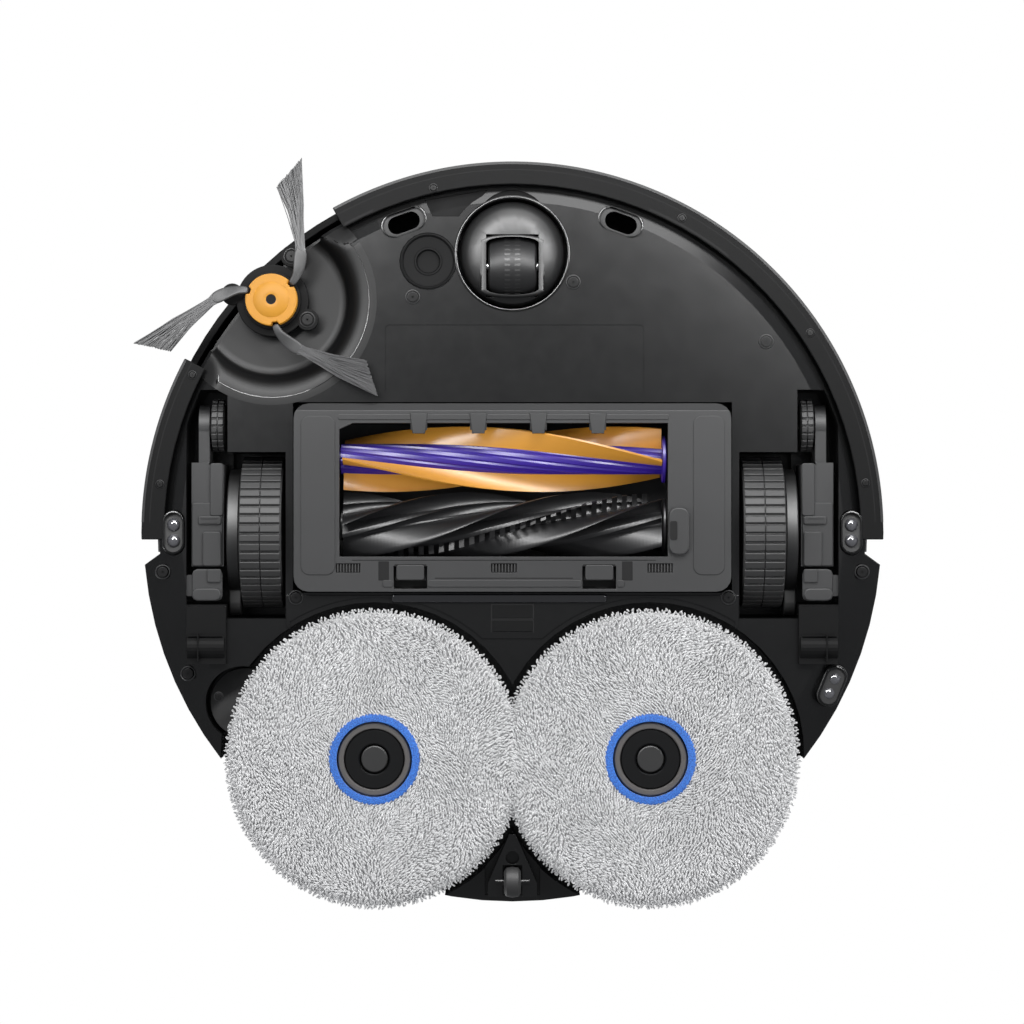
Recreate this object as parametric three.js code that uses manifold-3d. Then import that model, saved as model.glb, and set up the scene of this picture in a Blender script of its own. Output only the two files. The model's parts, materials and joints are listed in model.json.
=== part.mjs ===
// Robot vacuum cleaner with twin mop pads, modelled in millimetres.
// +Z is up, Z = 0 is the floor, the front bumper faces -Y and the robot's left side is at +X.
import * as THREE from 'three';
import { mergeVertices } from 'three/addons/utils/BufferGeometryUtils.js';
import Module from 'manifold-3d';

const wasm = await Module();
wasm.setup();

// ---------------------------------------------------------------- driving dimensions
const gap = 0.3; // clearance between pieces that touch
const bodyR = 175; // outer radius of the round body
const topZ = 89.3; // overall height
const floorGap = 10; // from the floor to the chassis plate
const plateT = 2.5; // thickness of the chassis plate and outer walls
const wellT = 2; // thickness of the walls around the wells
const seamZ = 56; // parting line between chassis and top shell
const deckT = 2.7; // thickness of the deck plate
const lidT = 2; // thickness of the lid

const bumperT = 3.5; // bumper wall
const bumperTravel = 4; // how far the bumper pushes in
const bumperEndY = 3.3; // where the bumper ends at each side
const chassisFrontR = bodyR - bumperT - bumperTravel - 0.5;
const bumperTopZ = topZ - lidT - gap - deckT - 2 * gap;
const flangeR = 164.3; // inner edge of the flange under the bumper
const flangeT = 1.5;
const bevelR = 156; // where the underside starts to rise towards the rim
const bevelSlope = 0.5;

const bayHalfX = 103.5; // bay for the cleaning head
const bayFrontY = -61.5;
const bayRearY = 28.4;
const headClear = 0.6; // clearance around the cleaning head
const headFloat = 8; // how far the head floats up
const headTopZ = 42;

const rollerR = 15.4; // over the fins
const finHeight = 8.4; // from the core to the fin tips
const coreR = rollerR - finHeight;
const pinR = coreR * 0.43; // end pins of the rollers
const rollerNip = 0.4; // space between the two rollers
const rollerGroundGap = 1;
const rollerZ = rollerGroundGap + rollerR;
const frontRollerY = -34.7;
const rollerSpacing = 2 * rollerR + rollerNip;
const rearRollerY = frontRollerY + rollerSpacing;
const rollerX0 = -80.9;
const rollerX1 = 72.6;

const guardZ = 5; // underside of the brush guard
const guardT = 3.5;

const wheelR = 36; // drive wheel
const wheelX0 = 108.7; // inner face
const wheelX1 = 128.6; // outer face
const wellX0 = 106.9;
const wellX1 = 135.3;
const wellFrontY = -wheelR - 2;
const wellRearY = 40.6;
const wellTopZ = 78;
const suspensionY = 33; // pivot of the suspension arm
const suspensionZ = 30;

const legX1 = 153.8; // outer side of the climbing leg slot
const legFrontY = -67.4;
const legRearY = 34;
const legTopZ = 57;
const legPivotZ = 34;
const legWheelR = 12.5;
const legWheelY = -50.7;
const legWheelZ = 26;

const casterY = -131.5; // swivel axis of the front caster
const casterR = 24.7;
const casterWheelR = 13.6;
const casterWheelY = -125.6;
const casterTopZ = 30;

const rearWheelY = 164.5;
const rearWheelR = 7.3;

const hubX = -113.4; // side brush axis
const hubY = -109.6;
const hubR = 12.2;
const brushArmX = -81; // pivot of the side brush arm
const brushArmY = -116;
const dishR = 38; // recess around the side brush
const dishTopZ = 22;

const mopX = 64.8;
const mopY = 106.3;
const mopPadR = 64.4;
const mopPadT = 9;
const mopPocketR = 73.5;
const mopPocketZ = 38;
const mopLift = 10;
const swingX = -127.2; // pivot of the mop swing arm
const swingY = 80.9;

const lidarY = 72;
const lidarR = 37;
const lidHingeY = 8;

const deckZ = topZ - lidT - gap; // top of the deck under the lid
const binHalfX = 71;
const binY0 = -103.5;
const binY1 = -66.5;

// ---------------------------------------------------------------- colours
const paint = {
  shell: [0x262629, 0.45],
  deck: [0x2c2c30, 0.4],
  grey: [0x58595c, 0.5],
  darkGrey: [0x3a3a3e, 0.55],
  black: [0x17171a, 0.5],
  rubber: [0x3c3c3f, 0.85],
  gold: [0xe6a83e, 0.5],
  purple: [0x3a1e96, 0.45],
  blue: [0x3f86dc, 0.5],
  pad: [0xc9c9cb, 0.95],
  bristle: [0x5f5f62, 0.8],
  glass: [0x101014, 0.12],
  steel: [0xb9bbbf, 0.3, 0.9],
  board: [0x1f5a37, 0.6],
  cell: [0x2d4f86, 0.6],
  tank: [0x6d7278, 0.3],
};

const robot = new THREE.Group();

// ---------------------------------------------------------------- solids
function signedVolume(p, t) {
  const a = new THREE.Vector3();
  const b = new THREE.Vector3();
  const c = new THREE.Vector3();
  let sum = 0;
  for (let i = 0; i < t.length; i += 3) {
    a.fromArray(p, 3 * t[i]);
    b.fromArray(p, 3 * t[i + 1]);
    c.fromArray(p, 3 * t[i + 2]);
    sum += a.dot(b.cross(c));
  }
  return sum;
}

// A closed geometry as a solid, with its faces pointing out.
function solid(geometry) {
  geometry.deleteAttribute('normal');
  geometry.deleteAttribute('uv');
  const merged = mergeVertices(geometry, 1e-4);
  const points = new Float32Array(merged.attributes.position.array);
  const index = merged.index.array;
  const corners = [];
  for (let i = 0; i < index.length; i += 3) {
    const [a, b, c] = [index[i], index[i + 1], index[i + 2]];
    if (a !== b && b !== c && c !== a) corners.push(a, b, c);
  }
  if (signedVolume(points, corners) < 0) corners.reverse();
  return new wasm.Manifold(new wasm.Mesh({
    numProp: 3,
    vertProperties: points,
    triVerts: new Uint32Array(corners),
  }));
}

function box(x0, x1, y0, y1, z0, z1) {
  const g = new THREE.BoxGeometry(x1 - x0, y1 - y0, z1 - z0);
  g.translate((x0 + x1) / 2, (y0 + y1) / 2, (z0 + z1) / 2);
  return solid(g);
}

// An upright cylinder.
function drum(x, y, z0, z1, r, sides = 32) {
  const g = new THREE.CylinderGeometry(r, r, z1 - z0, sides);
  g.rotateX(Math.PI / 2);
  g.translate(x, y, (z0 + z1) / 2);
  return solid(g);
}

// A cylinder along X.
function rod(x0, x1, y, z, r, sides = 24) {
  const g = new THREE.CylinderGeometry(r, r, x1 - x0, sides);
  g.rotateZ(Math.PI / 2);
  g.translate((x0 + x1) / 2, y, z);
  return solid(g);
}

function prism(shape, z0, z1, curveSegments = 12) {
  const g = new THREE.ExtrudeGeometry(shape, { depth: z1 - z0, bevelEnabled: false, curveSegments });
  g.translate(0, 0, z0);
  return solid(g);
}

// A body of revolution about an upright axis, from a closed list of [radius, height].
function turned(x, y, profile, sides = 48) {
  const points = profile.map(([r, z]) => new THREE.Vector2(r, z));
  const g = new THREE.LatheGeometry(points, sides);
  g.rotateX(Math.PI / 2);
  g.translate(x, y, 0);
  return solid(g);
}

// The same about an axis along X, from a closed list of [radius, x].
function turnedX(y, z, profile, sides = 32) {
  const points = profile.map(([r, x]) => new THREE.Vector2(r, x));
  const g = new THREE.LatheGeometry(points, sides);
  g.rotateZ(-Math.PI / 2);
  g.translate(0, y, z);
  return solid(g);
}

// A cog outline, extruded along X and twisted by a number of radians over its length.
function cog(x0, x1, outerR, innerR, teeth, landShare, twist, steps, y, z) {
  const shape = new THREE.Shape();
  for (let i = 0; i < teeth; i += 1) {
    const pitch = (2 * Math.PI) / teeth;
    const corners = [[innerR, 0], [outerR, 0.08], [outerR, landShare], [innerR, landShare + 0.08]];
    corners.forEach(([r, share], k) => {
      const a = (i + share) * pitch;
      if (i + k === 0) shape.moveTo(r * Math.cos(a), r * Math.sin(a));
      else shape.lineTo(r * Math.cos(a), r * Math.sin(a));
    });
  }
  shape.closePath();
  const g = new THREE.ExtrudeGeometry(shape, { depth: x1 - x0, bevelEnabled: false, steps });
  const p = g.attributes.position;
  for (let i = 0; i < p.count; i += 1) {
    const a = (twist * p.getZ(i)) / (x1 - x0);
    const [u, v] = [p.getX(i), p.getY(i)];
    p.setX(i, u * Math.cos(a) - v * Math.sin(a));
    p.setY(i, u * Math.sin(a) + v * Math.cos(a));
  }
  g.rotateY(Math.PI / 2);
  g.translate(x0, y, z);
  return solid(g);
}

// A bar along X with a section given as [y, z] corners.
function bar(x0, x1, section) {
  const shape = new THREE.Shape(section.map(([y, z]) => new THREE.Vector2(y, z)));
  const g = new THREE.ExtrudeGeometry(shape, { depth: x1 - x0, bevelEnabled: false });
  g.applyMatrix4(new THREE.Matrix4().set(0, 0, 1, x0, 1, 0, 0, 0, 0, 1, 0, 0, 0, 0, 0, 1));
  return solid(g);
}

// The same box on both sides of the robot.
function boxPair(x0, x1, y0, y1, z0, z1) {
  return box(x0, x1, y0, y1, z0, z1).add(box(-x1, -x0, y0, y1, z0, z1));
}

// Adds one sub-part to the robot; side -1 mirrors a piece of the left side to the right side.
function add(name, piece, [color, roughness, metalness = 0], side = 1) {
  const { vertProperties, triVerts } = piece.getMesh();
  const g = new THREE.BufferGeometry();
  g.setAttribute('position', new THREE.BufferAttribute(vertProperties, 3));
  g.setIndex(new THREE.BufferAttribute(side > 0 ? triVerts : triVerts.slice().reverse(), 1));
  g.scale(side, 1, 1);
  g.computeVertexNormals();
  const mesh = new THREE.Mesh(g, new THREE.MeshStandardMaterial({ color, roughness, metalness }));
  mesh.name = name;
  robot.add(mesh);
}

// ---------------------------------------------------------------- outlines
const notchAngle = Math.asin(15.3 / bodyR);
const frontAngle = Math.asin(10 / chassisFrontR);

const planSteps = 18; // half the facets of each half of the plan
const rimSides = 92; // facets of a full round rim

// Plan of the body: a smaller front half behind the bumper and a full rear half.
function bodyPlan(inset) {
  const shape = new THREE.Shape();
  shape.absarc(0, 0, bodyR - inset, notchAngle, Math.PI - notchAngle, false);
  shape.absarc(0, 0, chassisFrontR - inset, Math.PI - frontAngle, 2 * Math.PI + frontAngle, false);
  return shape;
}

// A ring that bevels the rim of the underside, lifted by some height.
function rimBevel(lift) {
  const z = floorGap + lift;
  const outer = bodyR + 5;
  return turned(0, 0, [
    [bevelR, z], [bevelR, z - 5], [outer, z - 5], [outer, z + (outer - bevelR) * bevelSlope], [bevelR, z],
  ], rimSides);
}

function roundedBox(x0, x1, y0, y1, z0, z1, r) {
  const shape = new THREE.Shape();
  shape.absarc(x1 - r, y0 + r, r, -Math.PI / 2, 0, false);
  shape.absarc(x1 - r, y1 - r, r, 0, Math.PI / 2, false);
  shape.absarc(x0 + r, y1 - r, r, Math.PI / 2, Math.PI, false);
  shape.absarc(x0 + r, y0 + r, r, Math.PI, 1.5 * Math.PI, false);
  return prism(shape, z0, z1, 2);
}

// An upright oblong with round ends, turned in plan by some degrees; half is half its straight length.
function oblong(x, y, half, r, degrees, z0, z1) {
  const shape = new THREE.Shape();
  shape.absarc(half, 0, r, -Math.PI / 2, Math.PI / 2, false);
  shape.absarc(-half, 0, r, Math.PI / 2, 1.5 * Math.PI, false);
  const g = new THREE.ExtrudeGeometry(shape, { depth: z1 - z0, bevelEnabled: false, curveSegments: 10 });
  g.rotateZ(THREE.MathUtils.degToRad(degrees));
  g.translate(x, y, z0);
  return solid(g);
}

// A windowed drop sensor as [x, y, half straight length, degrees], and the same sensor on the right side.
const sideDrop = [160, 0, 5, 90];
const rearDrop = [150.9, 72.3, 4.8, 112];
const dropR = 5.5;
function dropSensor([x, y, half, degrees], margin, z0, z1) {
  return oblong(x, y, half, dropR + margin, degrees, z0, z1);
}

// ---------------------------------------------------------------- chassis
// The hollow the side brush turns in: a flared lip that runs into a flat roof.
function brushDish(low, m) {
  const lip = [[8, 0], [5.5, 0.7], [3, 2], [0.8, 4.4], [-0.4, 7], [-1, 9.5]];
  const flare = lip.map(([dr, dz]) => [dishR + dr + m, floorGap + dz + m]);
  return turned(hubX, hubY, [
    [0, low], [flare[0][0], low], ...flare, [dishR - 1 + m, dishTopZ + m], [0, dishTopZ + m], [0, low],
  ], 56);
}

// The wells in the chassis, each larger by a margin; the walls are the wells grown by a margin.
function wells(margin) {
  const m = margin;
  const low = floorGap - 1 + m;
  const mopTop = mopPocketZ + m;
  return [
    box(-bayHalfX - m, bayHalfX + m, bayFrontY - m, bayRearY + m, low, headTopZ + headFloat + 1.5 + m),
    boxPair(wellX0 - m, wellX1 + m, wellFrontY - m, wellRearY + m, low, wellTopZ + m),
    boxPair(wellX1 - 1, legX1 + m, legFrontY - m, legRearY + m, low, legTopZ + m)
      .intersect(drum(0, 0, 0, topZ, chassisFrontR - plateT - wellT - 0.5 + m, rimSides)),
    drum(0, casterY, low, casterTopZ + 2 + m, casterR + 1.3 + m, 32),
    brushDish(low, m),
    drum(brushArmX, brushArmY, low, dishTopZ + m, 11 + m, 24),
    drum(mopX, mopY, low, mopTop, mopPocketR + m, 48),
    drum(-mopX, mopY, low, mopTop, mopPocketR + m, 48),
    drum(swingX, swingY, low, mopTop, 18 + m, 32),
  ];
}

function join(pieces) {
  return pieces.reduce((whole, piece) => whole.add(piece));
}

const recessT = 0.4; // depth of the blank label field in the plate
const fieldT = 0.9; // depth of the two fields beside the caster

// The two shallow fields at the caster, as deep on the bevelled rim as on the flat plate.
function casterFields() {
  const shape = new THREE.Shape([[-41.3, -157], [-11.4, -161.9], [-22.7, -149], [-37.7, -149]]
    .map(([x, y]) => new THREE.Vector2(x, y)));
  const under = box(-60, 60, -bodyR, -100, floorGap - 1, floorGap + fieldT).add(rimBevel(fieldT));
  return prism(shape, floorGap - 1, 20)
    .subtract(drum(0, casterY, 0, 21, casterR + 6, 48))
    .add(drum(0, casterY - 13, floorGap - 1, 20, 17.2, 48))
    .intersect(under);
}

function makeChassis() {
  const skin = prism(bodyPlan(0), floorGap, seamZ, planSteps).subtract(rimBevel(0));
  const inside = prism(bodyPlan(plateT), floorGap + plateT, seamZ + 1, planSteps)
    .subtract(rimBevel(plateT + 0.3));
  const limit = prism(bodyPlan(0), floorGap, wellTopZ + 10, planSteps).subtract(rimBevel(0));
  const inBody = prism(bodyPlan(0.02), floorGap + 0.5, wellTopZ + 9, planSteps);
  const walls = join(wells(wellT)).intersect(limit).intersect(inBody);
  let chassis = skin.subtract(inside).add(walls).subtract(join(wells(0)));
  const cuts = [
    drum(0, casterY, casterTopZ, casterTopZ + 10, 4.5, 20), // caster stem
    box(-32.3, 32.3, bayFrontY - wellT - 1, bayFrontY + 1, 25.7, 46.3), // duct to the dust bin
    box(-13.1, 13.1, 141.5, 171.8, floorGap - 1, 20), // rear wheel recess
    dropSensor(sideDrop, gap, floorGap - 1, 20),
    dropSensor([-sideDrop[0], sideDrop[1], sideDrop[2], sideDrop[3]], gap, floorGap - 1, 20),
    dropSensor(rearDrop, gap, floorGap - 1, 20),
    drum(-39.7, -127.9, floorGap - 1, 20, 13.6, 24), // carpet sensor
    oblong(51.2, -146.5, 5.2, 5.5, 20, floorGap - 1, 20), // front drop sensor windows
    oblong(-51.2, -146.5, 5.2, 5.5, -20, floorGap - 1, 20),
    roundedBox(-60, 62, -98, -65, floorGap - 1, floorGap + recessT, 2), // blank label field
    casterFields(),
  ];
  for (const cut of cuts) chassis = chassis.subtract(cut);
  const recessRoof = box(-14.6, 14.6, 140, 172.5, 20, 22).intersect(limit);
  return chassis.add(recessRoof.subtract(join(wells(0))));
}

function makeTopShell() {
  const inside = prism(bodyPlan(plateT), seamZ - 1, deckZ - deckT, planSteps);
  const rear = prism(bodyPlan(0), seamZ + gap, topZ, planSteps)
    .subtract(box(-bodyR, bodyR, -bodyR - 5, lidHingeY + gap, deckZ, topZ + 1));
  const frontDeck = drum(0, 0, deckZ - deckT, deckZ, bodyR, rimSides)
    .subtract(box(-bodyR - 1, bodyR + 1, 10, bodyR + 5, seamZ, topZ + 1));
  let shell = rear.add(frontDeck).subtract(inside);
  const cuts = [
    boxPair(wellX0 - wellT - gap, wellX1 + wellT + gap, wellFrontY - 3, wellRearY + 3, seamZ - 2, wellTopZ + 3),
    drum(0, lidarY, seamZ, topZ + 1, lidarR + 0.6, 48),
    box(-binHalfX - 1.5, binHalfX + 1.5, binY0 - 1.5, binY1 + 1.5, seamZ, topZ + 1),
    drum(-16, 24, seamZ, topZ + 1, 6.9, 24),
    drum(16, 24, seamZ, topZ + 1, 6.9, 24),
  ];
  for (const cut of cuts) shell = shell.subtract(cut);
  return shell;
}

// ---------------------------------------------------------------- bumper
function frontHalf() {
  return box(-bodyR - 5, bodyR + 5, -bodyR - 5, bumperEndY, 0, topZ + 5);
}

// A wedge of plan, between two angles measured from the front towards the robot's right.
function frontWedge(a0, a1, z0, z1) {
  const shape = new THREE.Shape();
  const far = bodyR * 1.3;
  shape.moveTo(0, 0);
  for (const a of [a0, (a0 + a1) / 2, a1]) {
    const t = THREE.MathUtils.degToRad(a);
    shape.lineTo(-far * Math.sin(t), -far * Math.cos(t));
  }
  return prism(shape, z0, z1);
}

const windowZ0 = 50;
const windowZ1 = 68;
const windowR = bodyR - 1.4;

function ringOf(innerR, outerR, z0, z1) {
  return turned(0, 0, [[innerR, z0], [outerR, z0], [outerR, z1], [innerR, z1], [innerR, z0]], rimSides + 8);
}

function makeBumper() {
  const wall = ringOf(bodyR - bumperT, bodyR, floorGap, bumperTopZ);
  const flange = ringOf(flangeR, bodyR - 1, floorGap, floorGap + flangeT);
  const slot = ringOf(windowR, bodyR + 2, windowZ0 - gap, windowZ1 + gap).intersect(frontWedge(-34, 34, 0, 90));
  return wall.add(flange).intersect(frontHalf())
    .subtract(frontWedge(29, 62, floorGap - 1, 40))
    .subtract(slot);
}

function makeSensorWindow() {
  return ringOf(windowR + gap, bodyR, windowZ0, windowZ1).intersect(frontWedge(-33.8, 33.8, 0, 90));
}

function makeLid() {
  return drum(0, 0, topZ - lidT, topZ, bodyR - 0.6, rimSides)
    .subtract(box(-bodyR, bodyR, lidHingeY, bodyR, 0, topZ + 5));
}

// ---------------------------------------------------------------- dust bin and insides
function makeDustBin() {
  const outer = roundedBox(-binHalfX, binHalfX, binY0, binY1, floorGap + plateT + gap, deckZ - deckT, 7);
  const inner = roundedBox(-binHalfX + 2, binHalfX - 2, binY0 + 2, binY1 - 2, 15, deckZ - deckT - 2, 5.5);
  const inlet = box(-30, 30, binY1 - 4, binY1 + 1, 28, 44);
  const dishGap = wellT + gap; // the bin's corner clears the wall of the side brush dish
  return outer.subtract(brushDish(0, dishGap)).subtract(inner.subtract(brushDish(0, dishGap + 2)))
    .subtract(inlet);
}

function makeDuctSeal() {
  const y0 = binY1 + gap;
  const y1 = bayFrontY - gap;
  return box(-32, 32, y0, y1, 26, 46).subtract(box(-29, 29, y0 - 1, y1 + 1, 29, 43));
}

function makeWaterTank() {
  const shape = new THREE.Shape();
  const r = bodyR - plateT - 3;
  const a = Math.asin(116 / r);
  shape.absarc(0, 0, r, a, Math.PI - a, false);
  const inset = 2;
  const hollow = new THREE.Shape();
  const b = Math.asin((116 + inset) / (r - inset));
  hollow.absarc(0, 0, r - inset, b, Math.PI - b, false);
  const top = deckZ - deckT - 1;
  return prism(shape, mopPocketZ + wellT + 1, top, 24)
    .subtract(prism(hollow, mopPocketZ + wellT + 3, top - 2, 24))
    .subtract(drum(-60, 135, top - 5, top + 1, 6));
}

add('chassis_base', makeChassis(), paint.shell);
add('top_shell', makeTopShell(), paint.deck);
add('bumper', makeBumper(), paint.shell);
add('sensor_window', makeSensorWindow(), paint.glass);
add('lid', makeLid(), paint.deck);
add('dust_bin', makeDustBin(), paint.tank);
add('duct_seal', makeDuctSeal(), paint.rubber);
add('water_tank', makeWaterTank(), paint.tank);
add('battery_pack', box(-62, 62, -58, 16, 54.5, 76), paint.cell);
add('main_board', box(46, 102, 52, 112, 58, 60), paint.board);
add('suction_fan', drum(-78, 82, 42, 80, 24, 32), paint.darkGrey);
for (const side of [-1, 1]) {
  const name = side > 0 ? 'left' : 'right';
  add(`cliff_sensor_${name}`, dropSensor(sideDrop, 0, 12.2, 18), paint.glass, side);
}
add('cliff_sensor_rear', dropSensor(rearDrop, 0, 10.9, 17), paint.glass);
add('carpet_sensor', drum(-39.7, -127.9, 10.4, 18, 13.2, 24), paint.black);

// ---------------------------------------------------------------- cleaning head
const headX = bayHalfX - headClear;
const headY0 = bayFrontY + headClear;
const headY1 = bayRearY - headClear;
const headZ0 = guardZ + guardT + gap;
const gearX0 = rollerX1 + 4;
const gearX1 = gearX0 + 5;

function makeHeadHousing() {
  const hollow = roundedBox(rollerX0 - 6, gearX1 + 1.5, -52, 13.5, headZ0 - 1, headTopZ - 3, 3);
  const motorBay = box(gearX1 + 2.4, headX - 2, -40, 2, headZ0 - 1, headTopZ - 3);
  const outlet = box(-29, 29, headY0 - 1, -51, 29, headTopZ - 3);
  return roundedBox(-headX, headX, headY0, headY1, headZ0, headTopZ, 7)
    .subtract(hollow).subtract(motorBay).subtract(outlet)
    .subtract(latchPockets(gap));
}

// The two places where the latches sit, behind the rollers.
const latchX = [[-55.5, -40.4], [33.2, 48.4]];
function latchPockets(margin) {
  return join(latchX.map(([x0, x1]) => box(
    x0 - margin, x1 + margin, 16 - margin, 22.9 + 3.5, guardZ - 1, headZ0 + 6 + margin,
  )));
}

function makeLatch([x0, x1]) {
  return box(x0, x1, 16, 22.6, headZ0 + 1.5, headZ0 + 6).add(box(x0 + 2, x1 - 2, 17.5, 21, guardZ, headZ0 + 2));
}

function makeGuard() {
  const r = 7;
  const opening = new THREE.Shape();
  opening.moveTo(-75, -51.5);
  opening.lineTo(rollerX1 + 0.5, -51.5);
  opening.lineTo(rollerX1 + 0.5, 11.3);
  opening.lineTo(rollerX0 - 0.5, 11.3);
  opening.lineTo(rollerX0 - 0.5, -48.6);
  opening.closePath();
  const vents = [[-83, -71.5], [-10, 2], [63.5, 75.3]].map(([x0, x1]) => box(x0, x1, 14.5, 18.8, 0, 12));
  const low = guardZ - 1;
  const hingeRelief = bar(-bodyR, bodyR, [
    [headY0 - 1, low], [headY0 + guardT + 1, low], [headY0 - 1, guardZ + guardT + 1],
  ]); // lets the hinged front edge turn clear of the bay
  const prongs = [-44, -16, 12.2, 40.1].map((x) => box(x - 3.9, x + 3.9, -52.5, -48.2, guardZ, guardZ + 1.8));
  return roundedBox(-headX, headX, headY0, headY1, guardZ, guardZ + guardT, r)
    .subtract(prism(opening, 0, 12))
    .subtract(latchPockets(gap))
    .subtract(join(vents))
    .subtract(hingeRelief)
    .add(join(prongs));
}

// A roller: a core with its end pins, the fins around it and the gear that drives it.
function addRoller(name, y, finPaint, corePaint, teeth, land, twist) {
  const core = rod(rollerX0 - 4.5, gearX1 + 1, y, rollerZ, coreR - 0.4, 24)
    .subtract(rod(gearX0 - 0.5, gearX1 + 2, y, rollerZ, coreR + 1, 24))
    .add(rod(gearX0 - 1.5, gearX1 + 1, y, rollerZ, pinR, 16));
  const fins = cog(rollerX0, rollerX1, rollerR, coreR + 1.5, teeth, land, twist, 14, y, rollerZ)
    .subtract(rod(rollerX0 - 1, rollerX1 + 1, y, rollerZ, coreR - 0.1, 24));
  const gear = cog(gearX0, gearX1, coreR, coreR - 1.3, 12, 0.45, 0, 1, y, rollerZ)
    .subtract(rod(gearX0 - 5, gearX1 + 5, y, rollerZ, pinR + gap, 16));
  add(`${name}_core`, core, corePaint);
  add(`${name}_fins`, fins, finPaint);
  add(`${name}_gear`, gear, paint.grey);
}

add('head_housing', makeHeadHousing(), paint.black);
add('brush_guard', makeGuard(), paint.grey);
add('latch_right', makeLatch(latchX[0]), paint.grey);
add('latch_left', makeLatch(latchX[1]), paint.grey);
add('roller_motor', box(gearX1 + 3, headX - 2.6, -39, 1, headZ0 + 1, headTopZ - 4), paint.steel);
addRoller('front_roller', frontRollerY, paint.gold, paint.purple, 5, 0.5, -2.4);
addRoller('rear_roller', rearRollerY, paint.black, paint.black, 6, 0.42, 2.4);

// ---------------------------------------------------------------- front caster and rear wheel
function makeCasterHousing() {
  const dome = turned(0, casterY, [
    [0, 5], [15, 5.5], [20.5, 7.4], [23.6, 10], [casterR, 13.5], [casterR, casterTopZ], [0, casterTopZ], [0, 5],
  ], 64);
  const room = casterWheelR + 1;
  return dome.add(drum(0, casterY, casterTopZ - 1, casterTopZ + 8, 4, 20))
    .subtract(box(-12.3, 12.3, casterWheelY - room, casterWheelY + room, 0, casterWheelR + room))
    .subtract(rod(-15.5, 15.5, casterWheelY, casterWheelR, 2 + gap, 16));
}

function makeCasterWheel() {
  const end = casterWheelR - 2;
  const bore = 2 + gap;
  return turnedX(casterWheelY, casterWheelR, [
    [bore, -11.3], [end, -11.3], [casterWheelR - 0.6, -7.5], [casterWheelR, -2.5],
    [casterWheelR, 2.5], [casterWheelR - 0.6, 7.5], [end, 11.3], [bore, 11.3], [bore, -11.3],
  ], 32);
}

function makeRearBracket() {
  const shape = new THREE.Shape();
  shape.moveTo(-1.5, 142);
  shape.lineTo(1.5, 142);
  shape.lineTo(11.5, 165);
  shape.lineTo(11.5, 171.3);
  shape.lineTo(-11.5, 171.3);
  shape.lineTo(-11.5, 165);
  shape.closePath();
  const room = rearWheelR + 0.8;
  return prism(shape, 6.5, 19.6)
    .subtract(box(-4.6, 4.6, rearWheelY - room, rearWheelY + 10, 0, rearWheelR + room + 1))
    .subtract(drum(0, 153, 0, 12, 3.2, 20))
    .add(rod(-8, 8, rearWheelY, rearWheelR + 0.2, 1.6, 16));
}

function makeRearWheel() {
  const bore = 1.6 + gap;
  return turnedX(rearWheelY, rearWheelR + 0.2, [
    [bore, -4], [rearWheelR - 0.8, -4], [rearWheelR, -3], [rearWheelR, 3],
    [rearWheelR - 0.8, 4], [bore, 4], [bore, -4],
  ], 20);
}

add('caster_housing', makeCasterHousing(), paint.shell);
add('caster_axle', rod(-15.2, 15.2, casterWheelY, casterWheelR, 2, 16), paint.steel);
add('caster_wheel', makeCasterWheel(), paint.rubber);
add('rear_wheel_bracket', makeRearBracket(), paint.shell);
add('rear_wheel', makeRearWheel(), paint.rubber);

// ---------------------------------------------------------------- side brush
const hubTopZ = 13;
function makeSideBrushArm() {
  const shape = new THREE.Shape();
  const dx = hubX - brushArmX;
  const dy = hubY - brushArmY;
  const a = Math.atan2(dy, dx) + Math.PI / 2;
  shape.absarc(brushArmX, brushArmY, 9, a, a + Math.PI, false);
  shape.absarc(hubX, hubY, 17, a - Math.PI, a, false);
  return prism(shape, hubTopZ + gap, dishTopZ - 0.5)
    .add(drum(hubX, hubY, 4, hubTopZ + 1, 4, 20));
}

function makeSideBrushHub() {
  return turned(hubX, hubY, [
    [4 + gap, 3.5], [hubR - 1.5, 3.5], [hubR, 5], [hubR, 9.5], [hubR - 3, hubTopZ], [4 + gap, hubTopZ], [4 + gap, 3.5],
  ], 36);
}

// One bristle arm: a swirled neck that widens to two tips, as [radius, degrees from the arm].
const bristlePlan = [
  [hubR + 0.4, 12], [20, 3], [27.5, -7], [40, -20], [52.8, -26], [55, -20], [67.5, -16.5],
  [45, -6], [27.5, 5], [20, 16], [hubR + 0.4, 28],
];

function makeBristles(armDegrees) {
  const shape = new THREE.Shape();
  bristlePlan.forEach(([r, degrees], i) => {
    const a = THREE.MathUtils.degToRad(armDegrees + degrees);
    const [x, y] = [hubX + r * Math.cos(a), hubY + r * Math.sin(a)];
    if (i === 0) shape.moveTo(x, y);
    else shape.lineTo(x, y);
  });
  return prism(shape, rollerGroundGap, 4.2);
}

add('side_brush_arm', makeSideBrushArm(), paint.shell);
add('side_brush_hub', makeSideBrushHub(), paint.gold);
[58.8, 178.8, 298.8].forEach((degrees, i) => {
  add(`side_brush_bristles_${i + 1}`, makeBristles(degrees), paint.bristle);
});

// ---------------------------------------------------------------- drive wheels and climbing legs
const tyreT = 5.5; // rubber over the hub
const tyreR = wheelR - tyreT;
const ribs = 24;

function makeTyre() {
  return cog(wheelX0, wheelX1, wheelR, wheelR - 1.2, ribs, 0.5, 0, 1, 0, wheelR)
    .subtract(rod(wheelX0 - 1, wheelX1 + 1, 0, wheelR, tyreR, 40));
}

function makeWheelHub() {
  const hub = tyreR - gap;
  return turnedX(0, wheelR, [
    [0, wheelX0 + 2], [hub - 6, wheelX0 + 2], [hub - 4, wheelX0 + 0.4], [hub, wheelX0 + 0.4],
    [hub, wheelX1 - 0.4], [0, wheelX1 - 0.4], [0, wheelX0 + 2],
  ], 40);
}

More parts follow.
